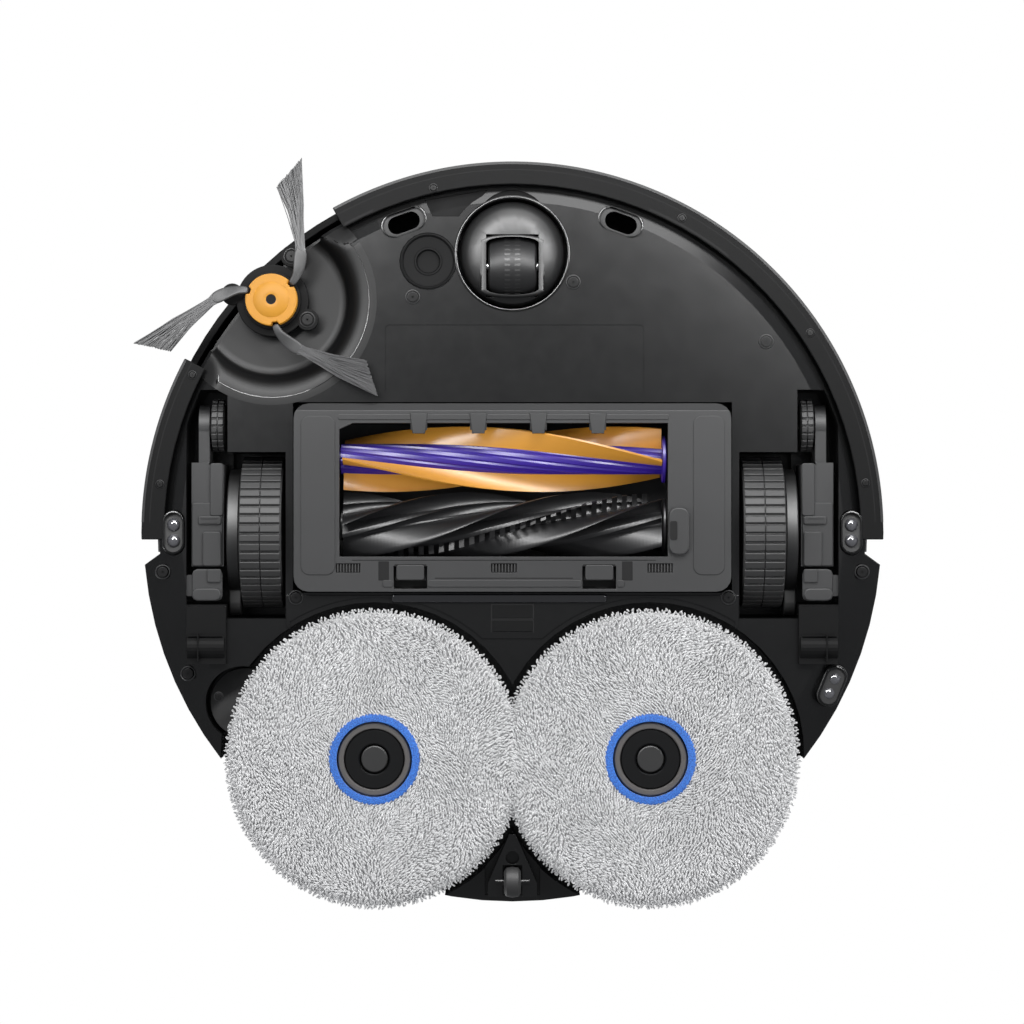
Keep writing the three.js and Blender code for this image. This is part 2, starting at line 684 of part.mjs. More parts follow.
function makeSuspensionArm() {
  const [x0, x1] = [wheelX1 + gap, wellX1 - 0.6];
  return rod(x0, x1, 0, wheelR, tyreR - 0.5, 40).add(rod(x0, x1, suspensionY, suspensionZ, 6.5, 24))
    .add(box(x0, x1, 20, suspensionY, suspensionZ - 6.5, suspensionZ + 6.5));
}

const legX0 = 136.3; // inner face of the leg wheel
const legMidX = 143;
const legOuterX = 148.5;

function makeLegArm() {
  const [x0, x1] = [legMidX + gap, legOuterX];
  const tip = rod(x0, x1, legWheelY, legWheelZ, 10, 24);
  const beam = box(x0, x1, legWheelY, 6, 16.5, 36);
  const block = box(legX0, 151.6, -33, 16, 13, 42).add(rod(legX0, 151.6, 0, legPivotZ, 13, 28));
  const notch = box(legX0 - 1, legMidX + gap, -34, -33 + 1, 0, 60);
  const pin = rod(legX0 + 0.6, x1, legWheelY, legWheelZ, 2, 16);
  return tip.add(beam).add(block).subtract(notch).add(pin);
}

function makeLegWheel() {
  const wheel = cog(legX0, legMidX - 0.2, legWheelR, legWheelR - 1, 20, 0.5, 0, 1, legWheelY, legWheelZ);
  return wheel.subtract(rod(legX0 - 1, legMidX + 1, legWheelY, legWheelZ, 2 + gap, 16));
}

function makeLegCover() {
  const plate = box(134.8, 153.4, 34.8, 62, 6.5, 9.7);
  const bulge = rod(135.5, 153, 54, 9.7, 6, 24).intersect(box(130, 160, 40, 70, 0, 9.7));
  return plate.add(bulge);
}

for (const side of [-1, 1]) {
  const name = side > 0 ? 'left' : 'right';
  add(`suspension_arm_${name}`, makeSuspensionArm(), paint.darkGrey, side);
  add(`wheel_hub_${name}`, makeWheelHub(), paint.black, side);
  add(`tyre_${name}`, makeTyre(), paint.rubber, side);
  add(`leg_arm_${name}`, makeLegArm(), paint.grey, side);
  add(`leg_wheel_${name}`, makeLegWheel(), paint.rubber, side);
  add(`leg_motor_cover_${name}`, makeLegCover(), paint.shell, side);
}

// ---------------------------------------------------------------- mops
const sleeveR = 8;
const mopHousingZ = 26;

function makeMopPad(x) {
  return turned(x, mopY, [
    [7, 1], [22, 1], [23, 0], [mopPadR - 2, 0], [mopPadR, 2], [mopPadR, mopPadT - 2],
    [mopPadR - 2, mopPadT], [7, mopPadT], [7, 1],
  ], 44);
}

function makeMopPlate(x) {
  return drum(x, mopY, mopPadT + gap, 13, 60, 40).add(drum(x, mopY, 3, mopPadT + 1, 6.4, 24));
}

function makeMopHousing(x, pivotX, pivotY, pivotR) {
  const top = mopPocketZ - gap;
  let body = drum(x, mopY, mopHousingZ, top, 24, 36);
  if (pivotR > 0) {
    const length = Math.hypot(x - pivotX, mopY - pivotY);
    const lever = new THREE.BoxGeometry(length, 22, top - mopHousingZ);
    lever.rotateZ(Math.atan2(mopY - pivotY, x - pivotX));
    lever.translate((x + pivotX) / 2, (mopY + pivotY) / 2, (top + mopHousingZ) / 2);
    body = body.add(solid(lever)).add(drum(pivotX, pivotY, mopHousingZ - 2, top, pivotR, 32));
  }
  return body.subtract(drum(x, mopY, mopHousingZ - 3, top + 1, sleeveR + gap, 32));
}

for (const side of [-1, 1]) {
  const name = side > 0 ? 'left' : 'right';
  add(`mop_shaft_${name}`, drum(side * mopX, mopY, 13 + gap, mopHousingZ + 1.5, sleeveR, 32), paint.steel);
  add(`mop_plate_${name}`, makeMopPlate(side * mopX), paint.darkGrey);
  add(`mop_pad_${name}`, makeMopPad(side * mopX), paint.pad);
}
add('mop_gearbox_left', makeMopHousing(mopX, 0, 0, 0), paint.darkGrey);
add('mop_arm', makeMopHousing(-mopX, swingX, swingY, 16.5), paint.darkGrey);

// ---------------------------------------------------------------- lidar and buttons
const turretH = 29.3;
const turretZ0 = topZ - turretH;
const turretFloorZ = turretZ0 + 4;
const turretRoofT = 3;
const scanH = 10; // height of the opening the sensor looks through
const scanZ0 = turretFloorZ + 6;

function makeLidarTurret() {
  const inner = lidarR - 3;
  const roofZ = topZ - turretRoofT;
  const body = drum(0, lidarY, turretZ0, topZ, lidarR, 48)
    .subtract(drum(0, lidarY, turretFloorZ, roofZ, inner, 48));
  let open = drum(0, lidarY, turretFloorZ + 3, roofZ, lidarR + 1, 48);
  for (const degrees of [30, 150, 270]) {
    const a = THREE.MathUtils.degToRad(degrees);
    const g = new THREE.BoxGeometry(14, 7, turretH + 10);
    g.rotateZ(a + Math.PI / 2);
    g.translate(lidarR * Math.cos(a), lidarY + lidarR * Math.sin(a), topZ - turretH / 2);
    open = open.subtract(solid(g));
  }
  return body.subtract(open.subtract(drum(0, lidarY, turretZ0, topZ, inner - 0.5, 48)));
}

function makeLidarRotor() {
  return drum(0, lidarY, turretFloorZ + gap, topZ - 5, lidarR - 7, 40)
    .subtract(box(-18, 18, lidarY - 40, lidarY - 20, scanZ0, scanZ0 + scanH));
}

add('lidar_turret', makeLidarTurret(), paint.black);
add('lidar_rotor', makeLidarRotor(), paint.glass);
add('power_button', drum(-16, 24, deckZ - deckT - 1.5, topZ, 6.5, 24), paint.grey);
add('home_button', drum(16, 24, deckZ - deckT - 1.5, topZ, 6.5, 24), paint.grey);

export default robot;
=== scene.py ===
"""Looks of a robot vacuum cleaner, seen from below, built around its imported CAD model. Metres, +Z up, front at -Y."""

import json
import math
import random

import bmesh
import bpy
from mathutils import Matrix, Vector, noise as field


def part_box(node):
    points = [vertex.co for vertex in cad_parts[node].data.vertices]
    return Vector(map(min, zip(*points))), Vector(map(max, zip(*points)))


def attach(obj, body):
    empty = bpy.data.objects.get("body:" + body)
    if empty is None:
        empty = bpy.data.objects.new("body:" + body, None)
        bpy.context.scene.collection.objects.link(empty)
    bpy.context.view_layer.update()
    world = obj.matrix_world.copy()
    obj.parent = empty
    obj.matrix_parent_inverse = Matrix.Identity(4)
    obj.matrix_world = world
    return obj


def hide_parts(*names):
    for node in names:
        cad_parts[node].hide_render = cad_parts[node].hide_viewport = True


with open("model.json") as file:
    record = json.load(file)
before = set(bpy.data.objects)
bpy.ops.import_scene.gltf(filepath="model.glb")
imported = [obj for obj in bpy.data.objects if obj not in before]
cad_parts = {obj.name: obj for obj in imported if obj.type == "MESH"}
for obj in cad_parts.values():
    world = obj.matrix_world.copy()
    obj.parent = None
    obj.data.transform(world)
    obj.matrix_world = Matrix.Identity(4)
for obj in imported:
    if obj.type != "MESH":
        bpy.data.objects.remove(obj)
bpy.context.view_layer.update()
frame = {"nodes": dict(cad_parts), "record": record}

MM = 0.001
UP = Vector((0, 0, 1))
VIEW_WIDTH = 0.483328  # metres across the picture at the underside
RIM_START = 0.156  # radius at which the underside begins to rise
RIM_SLOPE = 0.5


# ---------------------------------------------------------------- places taken from the frame
def span(node):
    low, high = (Vector(corner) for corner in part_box(node))
    return low, high, (low + high) / 2


def joint_point(name):
    for joint in frame["record"]["behaviour"]["joints"]:
        if joint["name"] == name:
            return Vector(joint["pos_m"])
    raise ValueError(name)


PLATE_Z = span("chassis_base")[0].z
DISH_CENTRE = joint_point("side_brush_spin")
CASTER = joint_point("caster_swivel")


# ---------------------------------------------------------------- camera, floor and light
def make_camera():
    data = bpy.data.cameras.new("camera")
    data.lens = 120
    data.sensor_width = 36
    camera = bpy.data.objects.new("camera", data)
    bpy.context.scene.collection.objects.link(camera)
    distance = VIEW_WIDTH * data.lens / data.sensor_width
    camera.location = (-0.0002, -0.0097, -distance + 0.012)
    camera.rotation_euler = (math.pi, 0, 0)
    data.clip_end = 20
    bpy.context.scene.camera = camera


def area_light(name, place, target, size, power, tint=(1, 1, 1), diffuse=True, glossy=True):
    data = bpy.data.lights.new(name, "AREA")
    data.shape = "RECTANGLE"
    data.size, data.size_y = size
    data.energy = power
    data.color = tint
    lamp = bpy.data.objects.new(name, data)
    lamp.location = place
    lamp.rotation_euler = (Vector(target) - Vector(place)).to_track_quat("-Z", "Y").to_euler()
    lamp.visible_diffuse = diffuse
    lamp.visible_glossy = glossy
    bpy.context.scene.collection.objects.link(lamp)


def make_world():
    world = bpy.data.worlds.new("studio")
    bpy.context.scene.world = world
    world.use_nodes = True
    nodes, links = world.node_tree.nodes, world.node_tree.links
    backdrop = nodes["Background"]
    backdrop.inputs["Color"].default_value = (0.9, 0.92, 0.95, 1)
    backdrop.inputs["Strength"].default_value = 0.32
    white = nodes.new("ShaderNodeBackground")
    white.inputs["Color"].default_value = (1, 1, 1, 1)
    white.inputs["Strength"].default_value = 1.0
    path = nodes.new("ShaderNodeLightPath")
    mix = nodes.new("ShaderNodeMixShader")
    links.new(path.outputs["Is Camera Ray"], mix.inputs["Fac"])
    links.new(backdrop.outputs["Background"], mix.inputs[1])
    links.new(white.outputs["Background"], mix.inputs[2])
    links.new(mix.outputs["Shader"], nodes["World Output"].inputs["Surface"])


def make_floor():
    bm = bmesh.new()
    bmesh.ops.create_grid(bm, x_segments=1, y_segments=1, size=6)
    mesh = bpy.data.meshes.new("floor")
    bm.to_mesh(mesh)
    bm.free()
    floor = bpy.data.objects.new("floor", mesh)
    bpy.context.scene.collection.objects.link(floor)
    floor.visible_shadow = False
    floor.visible_diffuse = False
    floor.visible_glossy = False
    material = bpy.data.materials.new("floor_one_sided")
    material.use_nodes = True
    nodes, links = material.node_tree.nodes, material.node_tree.links
    paint = nodes["Principled BSDF"]
    paint.inputs["Base Color"].default_value = (0.80, 0.80, 0.79, 1)
    paint.inputs["Roughness"].default_value = 0.8
    clear = nodes.new("ShaderNodeBsdfTransparent")
    side = nodes.new("ShaderNodeNewGeometry")
    mix = nodes.new("ShaderNodeMixShader")
    links.new(side.outputs["Backfacing"], mix.inputs["Fac"])
    links.new(paint.outputs["BSDF"], mix.inputs[1])
    links.new(clear.outputs["BSDF"], mix.inputs[2])
    links.new(mix.outputs["Shader"], nodes["Material Output"].inputs["Surface"])
    mesh.materials.append(material)


def make_lights():
    area_light("under_front", (0.2, -1.25, -0.75), (0, -0.05, 0.02), (1.2, 0.5), 14)
    area_light("under_left", (1.25, 0.1, -0.8), (0, 0, 0.02), (0.5, 1.2), 10, glossy=False)
    area_light("under_right", (-1.25, 0.3, -0.8), (0, 0, 0.02), (0.5, 1.2), 9, glossy=False)
    for name, side in (("sheen_left", 1), ("sheen_right", -1)):
        place = (side * 0.17, -0.24, -0.33)
        area_light(name, place, (side * 0.09, -0.12, 0.01), (0.36, 0.06), 4.8, diffuse=False)
    area_light("over_key", (0.9, -1.2, 1.6), (0, 0, 0.05), (1.2, 1.2), 34)
    area_light("over_back", (-1.2, 1.1, 1.3), (0, 0, 0.05), (1.2, 1.0), 20)


# ---------------------------------------------------------------- shared shader groups
def new_group(name, inputs, outputs):
    group = bpy.data.node_groups.new(name, "ShaderNodeTree")
    for label, kind, value in inputs:
        socket = group.interface.new_socket(label, in_out="INPUT", socket_type=kind)
        if value is not None:
            socket.default_value = value
    for label, kind in outputs:
        group.interface.new_socket(label, in_out="OUTPUT", socket_type=kind)
    start = group.nodes.new("NodeGroupInput")
    end = group.nodes.new("NodeGroupOutput")
    return group, start, end


def maths(tree, operation, a, b=None, clamp=False):
    node = tree.nodes.new("ShaderNodeMath")
    node.operation = operation
    node.use_clamp = clamp
    for socket, value in zip(node.inputs, (a, b)):
        if value is None:
            continue
        if isinstance(value, (int, float)):
            socket.default_value = value
        else:
            tree.links.new(value, socket)
    return node.outputs[0]


def noise(tree, vector, scale, detail=3, roughness=0.5):
    node = tree.nodes.new("ShaderNodeTexNoise")
    node.inputs["Detail"].default_value = detail
    node.inputs["Roughness"].default_value = roughness
    if isinstance(scale, (int, float)):
        node.inputs["Scale"].default_value = scale
    else:
        tree.links.new(scale, node.inputs["Scale"])
    tree.links.new(vector, node.inputs["Vector"])
    return node.outputs["Fac"]


def blend_colour(tree, factor, a, b):
    node = tree.nodes.new("ShaderNodeMix")
    node.data_type = "RGBA"
    for socket, value in ((node.inputs[0], factor), (node.inputs[6], a), (node.inputs[7], b)):
        if isinstance(value, (int, float, tuple)):
            socket.default_value = value
        else:
            tree.links.new(value, socket)
    return node.outputs[2]


def make_moulded_group():
    """Fine spark texture of moulded plastic: slow colour drift, roughness drift with smudges, and grain height."""
    group, start, end = new_group("moulded_grain", [
        ("Colour", "NodeSocketColor", (0.03, 0.03, 0.03, 1)),
        ("Grain size", "NodeSocketFloat", 2600.0),
        ("Roughness", "NodeSocketFloat", 0.45),
    ], [("Colour", "NodeSocketColor"), ("Roughness", "NodeSocketFloat"), ("Height", "NodeSocketFloat")])
    place = group.nodes.new("ShaderNodeTexCoord").outputs["Object"]
    grain = noise(group, place, start.outputs["Grain size"], 2)
    drift = noise(group, place, 14.0, 4)
    smudge = noise(group, place, 90.0, 5, 0.7)
    tone = group.nodes.new("ShaderNodeHueSaturation")
    group.links.new(start.outputs["Colour"], tone.inputs["Color"])
    group.links.new(maths(group, "ADD", maths(group, "MULTIPLY", drift, 0.35), 0.83), tone.inputs["Value"])
    ripple = maths(group, "MULTIPLY", maths(group, "SUBTRACT", smudge, 0.5), 0.06)
    group.links.new(tone.outputs["Color"], end.inputs["Colour"])
    group.links.new(maths(group, "ADD", start.outputs["Roughness"], ripple), end.inputs["Roughness"])
    group.links.new(grain, end.inputs["Height"])
    return group


GRAIN = None


def material(name):
    made = bpy.data.materials.new(name)
    made.use_nodes = True
    tree = made.node_tree
    return made, tree, tree.nodes["Principled BSDF"]


def bump(tree, shader, height, strength, distance):
    node = tree.nodes.new("ShaderNodeBump")
    node.inputs["Strength"].default_value = strength
    node.inputs["Distance"].default_value = distance
    tree.links.new(height, node.inputs["Height"])
    tree.links.new(node.outputs["Normal"], shader.inputs["Normal"])


def moulded(name, colour, roughness, grain_size=2600.0, grain=0.12, specular=0.5, coat=0.0):
    made, tree, shader = material(name)
    group = tree.nodes.new("ShaderNodeGroup")
    group.node_tree = GRAIN
    group.inputs["Colour"].default_value = (*colour, 1)
    group.inputs["Grain size"].default_value = grain_size
    group.inputs["Roughness"].default_value = roughness
    tree.links.new(group.outputs["Colour"], shader.inputs["Base Color"])
    tree.links.new(group.outputs["Roughness"], shader.inputs["Roughness"])
    shader.inputs["Specular IOR Level"].default_value = specular
    shader.inputs["Coat Weight"].default_value = coat
    shader.inputs["Coat Roughness"].default_value = 0.12
    bump(tree, shader, group.outputs["Height"], grain, 0.0002)
    return made


def cloth(name, light, dark, scale, grain):
    """Looped or felted cloth: pale loop tops, with the valleys between them painted darker as shade."""
    made, tree, shader = material(name)
    place = tree.nodes.new("ShaderNodeTexCoord").outputs["Object"]
    loops = noise(tree, place, scale, 2, 0.6)
    drift = noise(tree, place, 28.0, 3)
    # painted shade: the noise that raises the loops in the bump also picks the colour, so the low valleys get the
    # darker colour
    ramp = tree.nodes.new("ShaderNodeValToRGB")
    ramp.color_ramp.elements[0].position = 0.36
    ramp.color_ramp.elements[1].position = 0.58
    tree.links.new(loops, ramp.inputs["Fac"])
    loop_tone_and_valley_shade = blend_colour(tree, ramp.outputs["Color"], (*dark, 1), (*light, 1))
    shade = maths(tree, "ADD", maths(tree, "MULTIPLY", drift, 0.3), 0.85)
    tone = tree.nodes.new("ShaderNodeHueSaturation")
    tree.links.new(loop_tone_and_valley_shade, tone.inputs["Color"])
    tree.links.new(shade, tone.inputs["Value"])
    tree.links.new(tone.outputs["Color"], shader.inputs["Base Color"])
    shader.inputs["Roughness"].default_value = 0.95
    shader.inputs["Sheen Weight"].default_value = 0.25
    shader.inputs["Sheen Roughness"].default_value = 0.6
    bump(tree, shader, loops, grain, 0.0006)
    return made


def metal(name, colour, roughness):
    made, tree, shader = material(name)
    place = tree.nodes.new("ShaderNodeTexCoord").outputs["Object"]
    stretch = tree.nodes.new("ShaderNodeMapping")
    stretch.inputs["Scale"].default_value = (60, 2200, 2200)
    tree.links.new(place, stretch.inputs["Vector"])
    brushed = noise(tree, stretch.outputs["Vector"], 1.0, 3)
    uneven = maths(tree, "ADD", maths(tree, "MULTIPLY", brushed, 0.2), roughness - 0.1)
    tree.links.new(uneven, shader.inputs["Roughness"])
    tinted = blend_colour(tree, brushed, (*[c * 0.8 for c in colour], 1), (*colour, 1))
    tree.links.new(tinted, shader.inputs["Base Color"])
    shader.inputs["Metallic"].default_value = 1.0
    bump(tree, shader, brushed, 0.05, 0.0001)
    return made


def make_finishes():
    global GRAIN
    GRAIN = make_moulded_group()
    return {
        "shell": moulded("chassis_black", (0.0054, 0.0055, 0.0058), 0.25, 2200, 0.05, 0.38),
        "dome": moulded("dome_black", (0.0110, 0.0111, 0.0115), 0.43, 2200, 0.06, 0.36),
        "dish": moulded("dish_black", (0.0052, 0.0053, 0.0056), 0.46, 2200, 0.06, 0.16),
        "bumper": moulded("bumper_black", (0.0085, 0.0086, 0.0089), 0.60, 2600, 0.14, 0.06),
        "deck": moulded("deck_black", (0.014, 0.0143, 0.015), 0.44, 1800, 0.06, 0.4, 0.06),
        "gloss": moulded("window_black", (0.006, 0.006, 0.008), 0.10, 900, 0.01, 0.6, 0.8),
        "grey": moulded("frame_grey", (0.053, 0.0533, 0.0545), 0.48, 2400, 0.14, 0.2),
        "dark": moulded("inner_black", (0.0075, 0.0075, 0.008), 0.5, 2400, 0.12),
        # painted shade: a near-black matt colour laid into grooves, gaps, slots and hollows to stand for the shade
        # inside them
        "painted_shade": moulded("painted_shade_black", (0.004, 0.004, 0.0045), 0.8, 2400, 0.05, 0.2),
        "tyre": moulded("tyre_rubber", (0.034, 0.034, 0.0345), 0.58, 3400, 0.25, 0.35),
        "roller": moulded("wheel_black", (0.022, 0.022, 0.023), 0.46, 2400, 0.1, 0.22),
        "gold": moulded("gold_rubber", (0.80, 0.36, 0.045), 0.40, 1500, 0.05, 0.4),
        "hub_gold": moulded("hub_gold_plastic", (0.84, 0.38, 0.040), 0.50, 2800, 0.12, 0.12),
        "purple": moulded("purple_core", (0.040, 0.013, 0.32), 0.38, 1500, 0.04, 0.4),
        "fin_black": moulded("black_fin_rubber", (0.012, 0.012, 0.013), 0.38, 1700, 0.06, 0.3),
        "neck": moulded("neck_rubber", (0.060, 0.060, 0.061), 0.55, 3000, 0.2, 0.35),
        "bristle": moulded("bristle_grey", (0.15, 0.15, 0.152), 0.5, 1200, 0.05, 0.35),
        "screw": moulded("screw_black", (0.012, 0.012, 0.0125), 0.4, 1500, 0.05, 0.12),
        "steel": metal("axle_steel", (0.62, 0.62, 0.63), 0.3),
        "lens": moulded("sensor_lens", (0.10, 0.10, 0.11), 0.12, 700, 0.02, 0.6, 0.9),
        # painted shade: each cloth's second colour is the shade painted into the valleys between its loops
        "pad": cloth("loop_pile", (0.80, 0.80, 0.805), (0.62, 0.62, 0.625), 420.0, 0.25),
        "felt": cloth("blue_felt", (0.025, 0.21, 0.78), (0.008, 0.09, 0.46), 1500.0, 0.7),
        "ring": moulded("ring_grey", (0.125, 0.117, 0.112), 0.38, 2400, 0.06),
        "board": moulded("board_green", (0.02, 0.13, 0.06), 0.4, 700, 0.05),
        "cell": moulded("battery_wrap", (0.03, 0.09, 0.28), 0.35, 500, 0.03),
        "tank": moulded("tank_smoke", (0.055, 0.06, 0.068), 0.2, 1200, 0.02, 0.5, 0.5),
    }


# ---------------------------------------------------------------- mesh helpers
def piece(name, bm, body, finish, replaces=(), smooth=35, merge=True):
    """Turns a bmesh into a finished object that rides on a CAD body."""
    if merge:
        bmesh.ops.remove_doubles(bm, verts=bm.verts, dist=1e-6)
        bmesh.ops.recalc_face_normals(bm, faces=bm.faces)
    mesh = bpy.data.meshes.new(name)
    bm.to_mesh(mesh)
    bm.free()
    made = bpy.data.objects.new(name, mesh)
    bpy.context.scene.collection.objects.link(made)
    mesh.materials.append(finish)
    mesh.shade_smooth()
    mesh.set_sharp_from_angle(angle=math.radians(smooth))
    even_normals(made)
    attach(made, body)
    if replaces:
        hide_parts(*replaces)
    return made


def even_normals(made):
    """Keeps flat faces flat where they meet small rounded edges."""
    weigh = made.modifiers.new("even_normals", "WEIGHTED_NORMAL")
    weigh.keep_sharp = True
    weigh.weight = 80


def add_prism(bm, outline, z0, z1, edge=0.0, segments=2):
    """An upright block from a plan outline, its top and bottom edges rounded."""
    corners = [bm.verts.new((x, y, z0)) for x, y in outline]
    base = bm.faces.new(corners)
    grown = bmesh.ops.extrude_face_region(bm, geom=[base])["geom"]
    top = [v for v in grown if isinstance(v, bmesh.types.BMVert)]
    bmesh.ops.translate(bm, verts=top, vec=(0, 0, z1 - z0))
    if edge:
        rims = {e for v in corners + top for e in v.link_edges if abs(e.verts[0].co.z - e.verts[1].co.z) < 1e-7}
        bmesh.ops.bevel(bm, geom=list(rims), offset=edge, affect="EDGES", segments=segments, profile=0.5,
                        material=-1, clamp_overlap=True)


def circle(cx, cy, r, count, start=0.0, stop=2 * math.pi):
    closed = abs(stop - start - 2 * math.pi) < 1e-6
    steps = count if closed else count - 1
    return [(cx + r * math.cos(start + (stop - start) * i / steps),
             cy + r * math.sin(start + (stop - start) * i / steps))
            for i in range(count)]


def stadium(cx, cy, half, r, turn, count=10):
    a = [(half + x, y) for x, y in circle(0, 0, r, count, -math.pi / 2, math.pi / 2)]
    b = [(-half + x, y) for x, y in circle(0, 0, r, count, math.pi / 2, 1.5 * math.pi)]
    c, s = math.cos(turn), math.sin(turn)
    return [(cx + x * c - y * s, cy + x * s + y * c) for x, y in a + b]


def rounded(x0, x1, y0, y1, r, count=6):
    points = []
    for cx, cy, start in ((x1 - r, y0 + r, -0.5), (x1 - r, y1 - r, 0), (x0 + r, y1 - r, 0.5), (x0 + r, y0 + r, 1)):
        points += circle(cx, cy, r, count, start * math.pi, (start + 0.5) * math.pi)
    return points


def add_turned(bm, profile, centre, axis="Z", steps=96):
    """A body of revolution; the profile is [radius, height along the axis]."""
    turn = {"Z": Matrix.Identity(3), "X": Matrix.Rotation(math.pi / 2, 3, "Y")}[axis]
    centre = Vector(centre)
    verts = [bm.verts.new(centre + turn @ Vector((r, 0, h))) for r, h in profile]
    edges = [bm.edges.new(pair) for pair in zip(verts, verts[1:])]
    bmesh.ops.spin(bm, geom=verts + edges, cent=centre, axis=turn @ UP, angle=2 * math.pi, steps=steps,
                   use_merge=True, use_duplicate=False)


def refined(node, body, finish, edge=0.35, smooth=32):
    """A CAD node's own shape with its doubles merged and its sharp edges rounded over."""
    bm = bmesh.new()
    bm.from_mesh(frame["nodes"][node].data)
    bmesh.ops.remove_doubles(bm, verts=bm.verts, dist=2e-6)
    bmesh.ops.dissolve_limit(bm, angle_limit=math.radians(0.5), verts=bm.verts, edges=bm.edges)
    made = piece(node + "_moulding", bm, body, finish, (node,), smooth, merge=False)
    soften_edges(made, edge)
    return made


def soften_edges(made, millimetres, angle=40):
    soften = made.modifiers.new("rounded_edges", "BEVEL")
    soften.width = millimetres * MM
    soften.segments = 2
    soften.limit_method = "ANGLE"
    soften.angle_limit = math.radians(angle)
    soften.use_clamp_overlap = True
    made.modifiers.move(len(made.modifiers) - 1, 0)


# ---------------------------------------------------------------- body shells
def rim_rise(x, y):
    """How far the underside has risen towards its rim at a point."""
    return max(math.hypot(x, y) - RIM_START, 0) * RIM_SLOPE


def make_fields(finish):
    """The matt floors of the shallow recesses in front of the caster."""
    bm = bmesh.new()
    bm.from_mesh(frame["nodes"]["chassis_base"].data)
    others = []
    for face in bm.faces:
        x, y, z = face.calc_center_median()
        depth = z - PLATE_Z - rim_rise(x, y)
        inside = face.normal.z < -0.8 and y < -0.14 and abs(x) < 0.046 and 0.0005 < depth < 0.0013
        if not inside:
            others.append(face)
    bmesh.ops.delete(bm, geom=others, context="FACES")
    for v in bm.verts:
        v.co.z -= 0.00012
    piece("front_fields", bm, "chassis", finish["bumper"], smooth=20)


def make_shells(finish):
    refined("chassis_base", "chassis", finish["shell"], 0.4, 8.2)
    make_fields(finish)
    refined("top_shell", "chassis", finish["deck"], 0.6)
    refined("bumper", "bumper_body", finish["bumper"], 0.4, 30)
    refined("lid", "lid_body", finish["deck"], 0.5)
    refined("sensor_window", "bumper_body", finish["gloss"], 0.25)
    refined("head_housing", "head", finish["dark"], 0.4)
    refined("dust_bin", "chassis", finish["tank"], 0.5)
    refined("water_tank", "chassis", finish["tank"], 0.5)
    refined("duct_seal", "chassis", finish["dark"], 0.3)
    refined("suction_fan", "chassis", finish["dark"], 0.8)
    refined("battery_pack", "chassis", finish["cell"], 1.5)
    refined("main_board", "chassis", finish["board"], 0.2)
    refined("roller_motor", "head", finish["steel"], 1.0)
    refined("mop_arm", "mop_swing", finish["dark"], 0.6)
    refined("mop_gearbox_left", "chassis", finish["dark"], 0.6)
    refined("rear_wheel_bracket", "chassis", finish["shell"], 0.4)
    refined("lidar_turret", "lidar_lifter", finish["deck"], 0.6)
    refined("lidar_rotor", "lidar_head", finish["gloss"], 0.6)
    refined("power_button", "power_key", finish["grey"], 0.5)
    refined("home_button", "home_key", finish["grey"], 0.5)
    refined("caster_axle", "caster", finish["steel"], 0.2)
    for side in ("left", "right"):
        refined(f"mop_shaft_{side}", f"mop_lift_{side}", finish["steel"], 0.3)
        refined(f"mop_plate_{side}", f"mop_{side}", finish["dark"], 0.6)
        refined(f"suspension_arm_{side}", f"suspension_{side}", finish["dark"], 0.6)
        refined(f"leg_arm_{side}", f"leg_{side}", finish["grey"], 0.6)
        refined(f"leg_motor_cover_{side}", "chassis", finish["bumper"], 0.12, 12)
        refined(f"latch_{side}", f"guard_latch_{side}", finish["grey"], 0.3)
        refined(f"cliff_sensor_{side}", "chassis", finish["dark"], 0.3)
    refined("cliff_sensor_rear", "chassis", finish["dark"], 0.3)


def clip_outside(bm, radius, first, last, step=4):
    """Trims a mesh to a circle about the body's axis, over a range of plan angles in degrees."""
    for degrees in range(first, last + 1, step):
        a = math.radians(degrees)
        normal = Vector((math.cos(a), math.sin(a), 0))
        bmesh.ops.bisect_plane(bm, geom=bm.verts[:] + bm.edges[:] + bm.faces[:], plane_co=normal * radius,
                               plane_no=normal, clear_outer=True)


def make_dish(finish):
    """The swept hollow that the side brush turns in: a soft lip that runs down to a flat roof."""
    bm = bmesh.new()
    profile = [(49.5, -0.02), (46.5, 0.02), (44, 0.30), (41.5, 1.0), (39.3, 2.3), (37.6, 4.4), (36.4, 7.0),
               (35.6, 9.6),
               (34.2, 11.0), (31, 11.7), (17.0, 11.9)]
    points = [(r * MM, PLATE_Z + (h - 0.05) * MM) for r, h in profile]
    add_turned(bm, points, (DISH_CENTRE.x, DISH_CENTRE.y, 0), steps=120)
    clip_outside(bm, 0.1655, 185, 265)
    for v in bm.verts:
        slope = (v.co.xy.length - 0.156) * 0.5
        v.co.z = max(v.co.z, PLATE_Z + max(slope, 0) - 0.00006)
    return piece("side_brush_dish", bm, "chassis", finish["dish"], smooth=75)


def make_side_brush_plate(finish):
    """The end of the swinging arm that carries the brush, with its two screws."""
    bm = bmesh.new()
    low = span("side_brush_arm")[0]
    x, y = DISH_CENTRE.x, DISH_CENTRE.y
    add_prism(bm, circle(x, y, 0.0136, 56), low.z + 0.0075, low.z + 0.0128, 0.0006)
    add_prism(bm, circle(x, y, 0.0170, 56), low.z + 0.0100, low.z + 0.0128, 0.0006)
    add_prism(bm, circle(x, y, 0.004, 24), low.z, low.z + 0.0095, 0.0003)
    ears = [(x + 0.009, y - 0.021), (x + 0.0165, y + 0.009), (x - 0.019, y - 0.003)]
    for ear in ears:
        add_prism(bm, circle(*ear, 0.0052, 24), low.z + 0.0099, low.z + 0.0132, 0.0005)
    piece("side_brush_carrier", bm, "side_brush_lever", finish["bumper"], ("side_brush_arm",))
    for i, ear in enumerate(ears[:2]):
        make_screw(f"carrier_screw_{i + 1}", ear[0], ear[1], low.z + 0.0099, "side_brush_lever", finish)


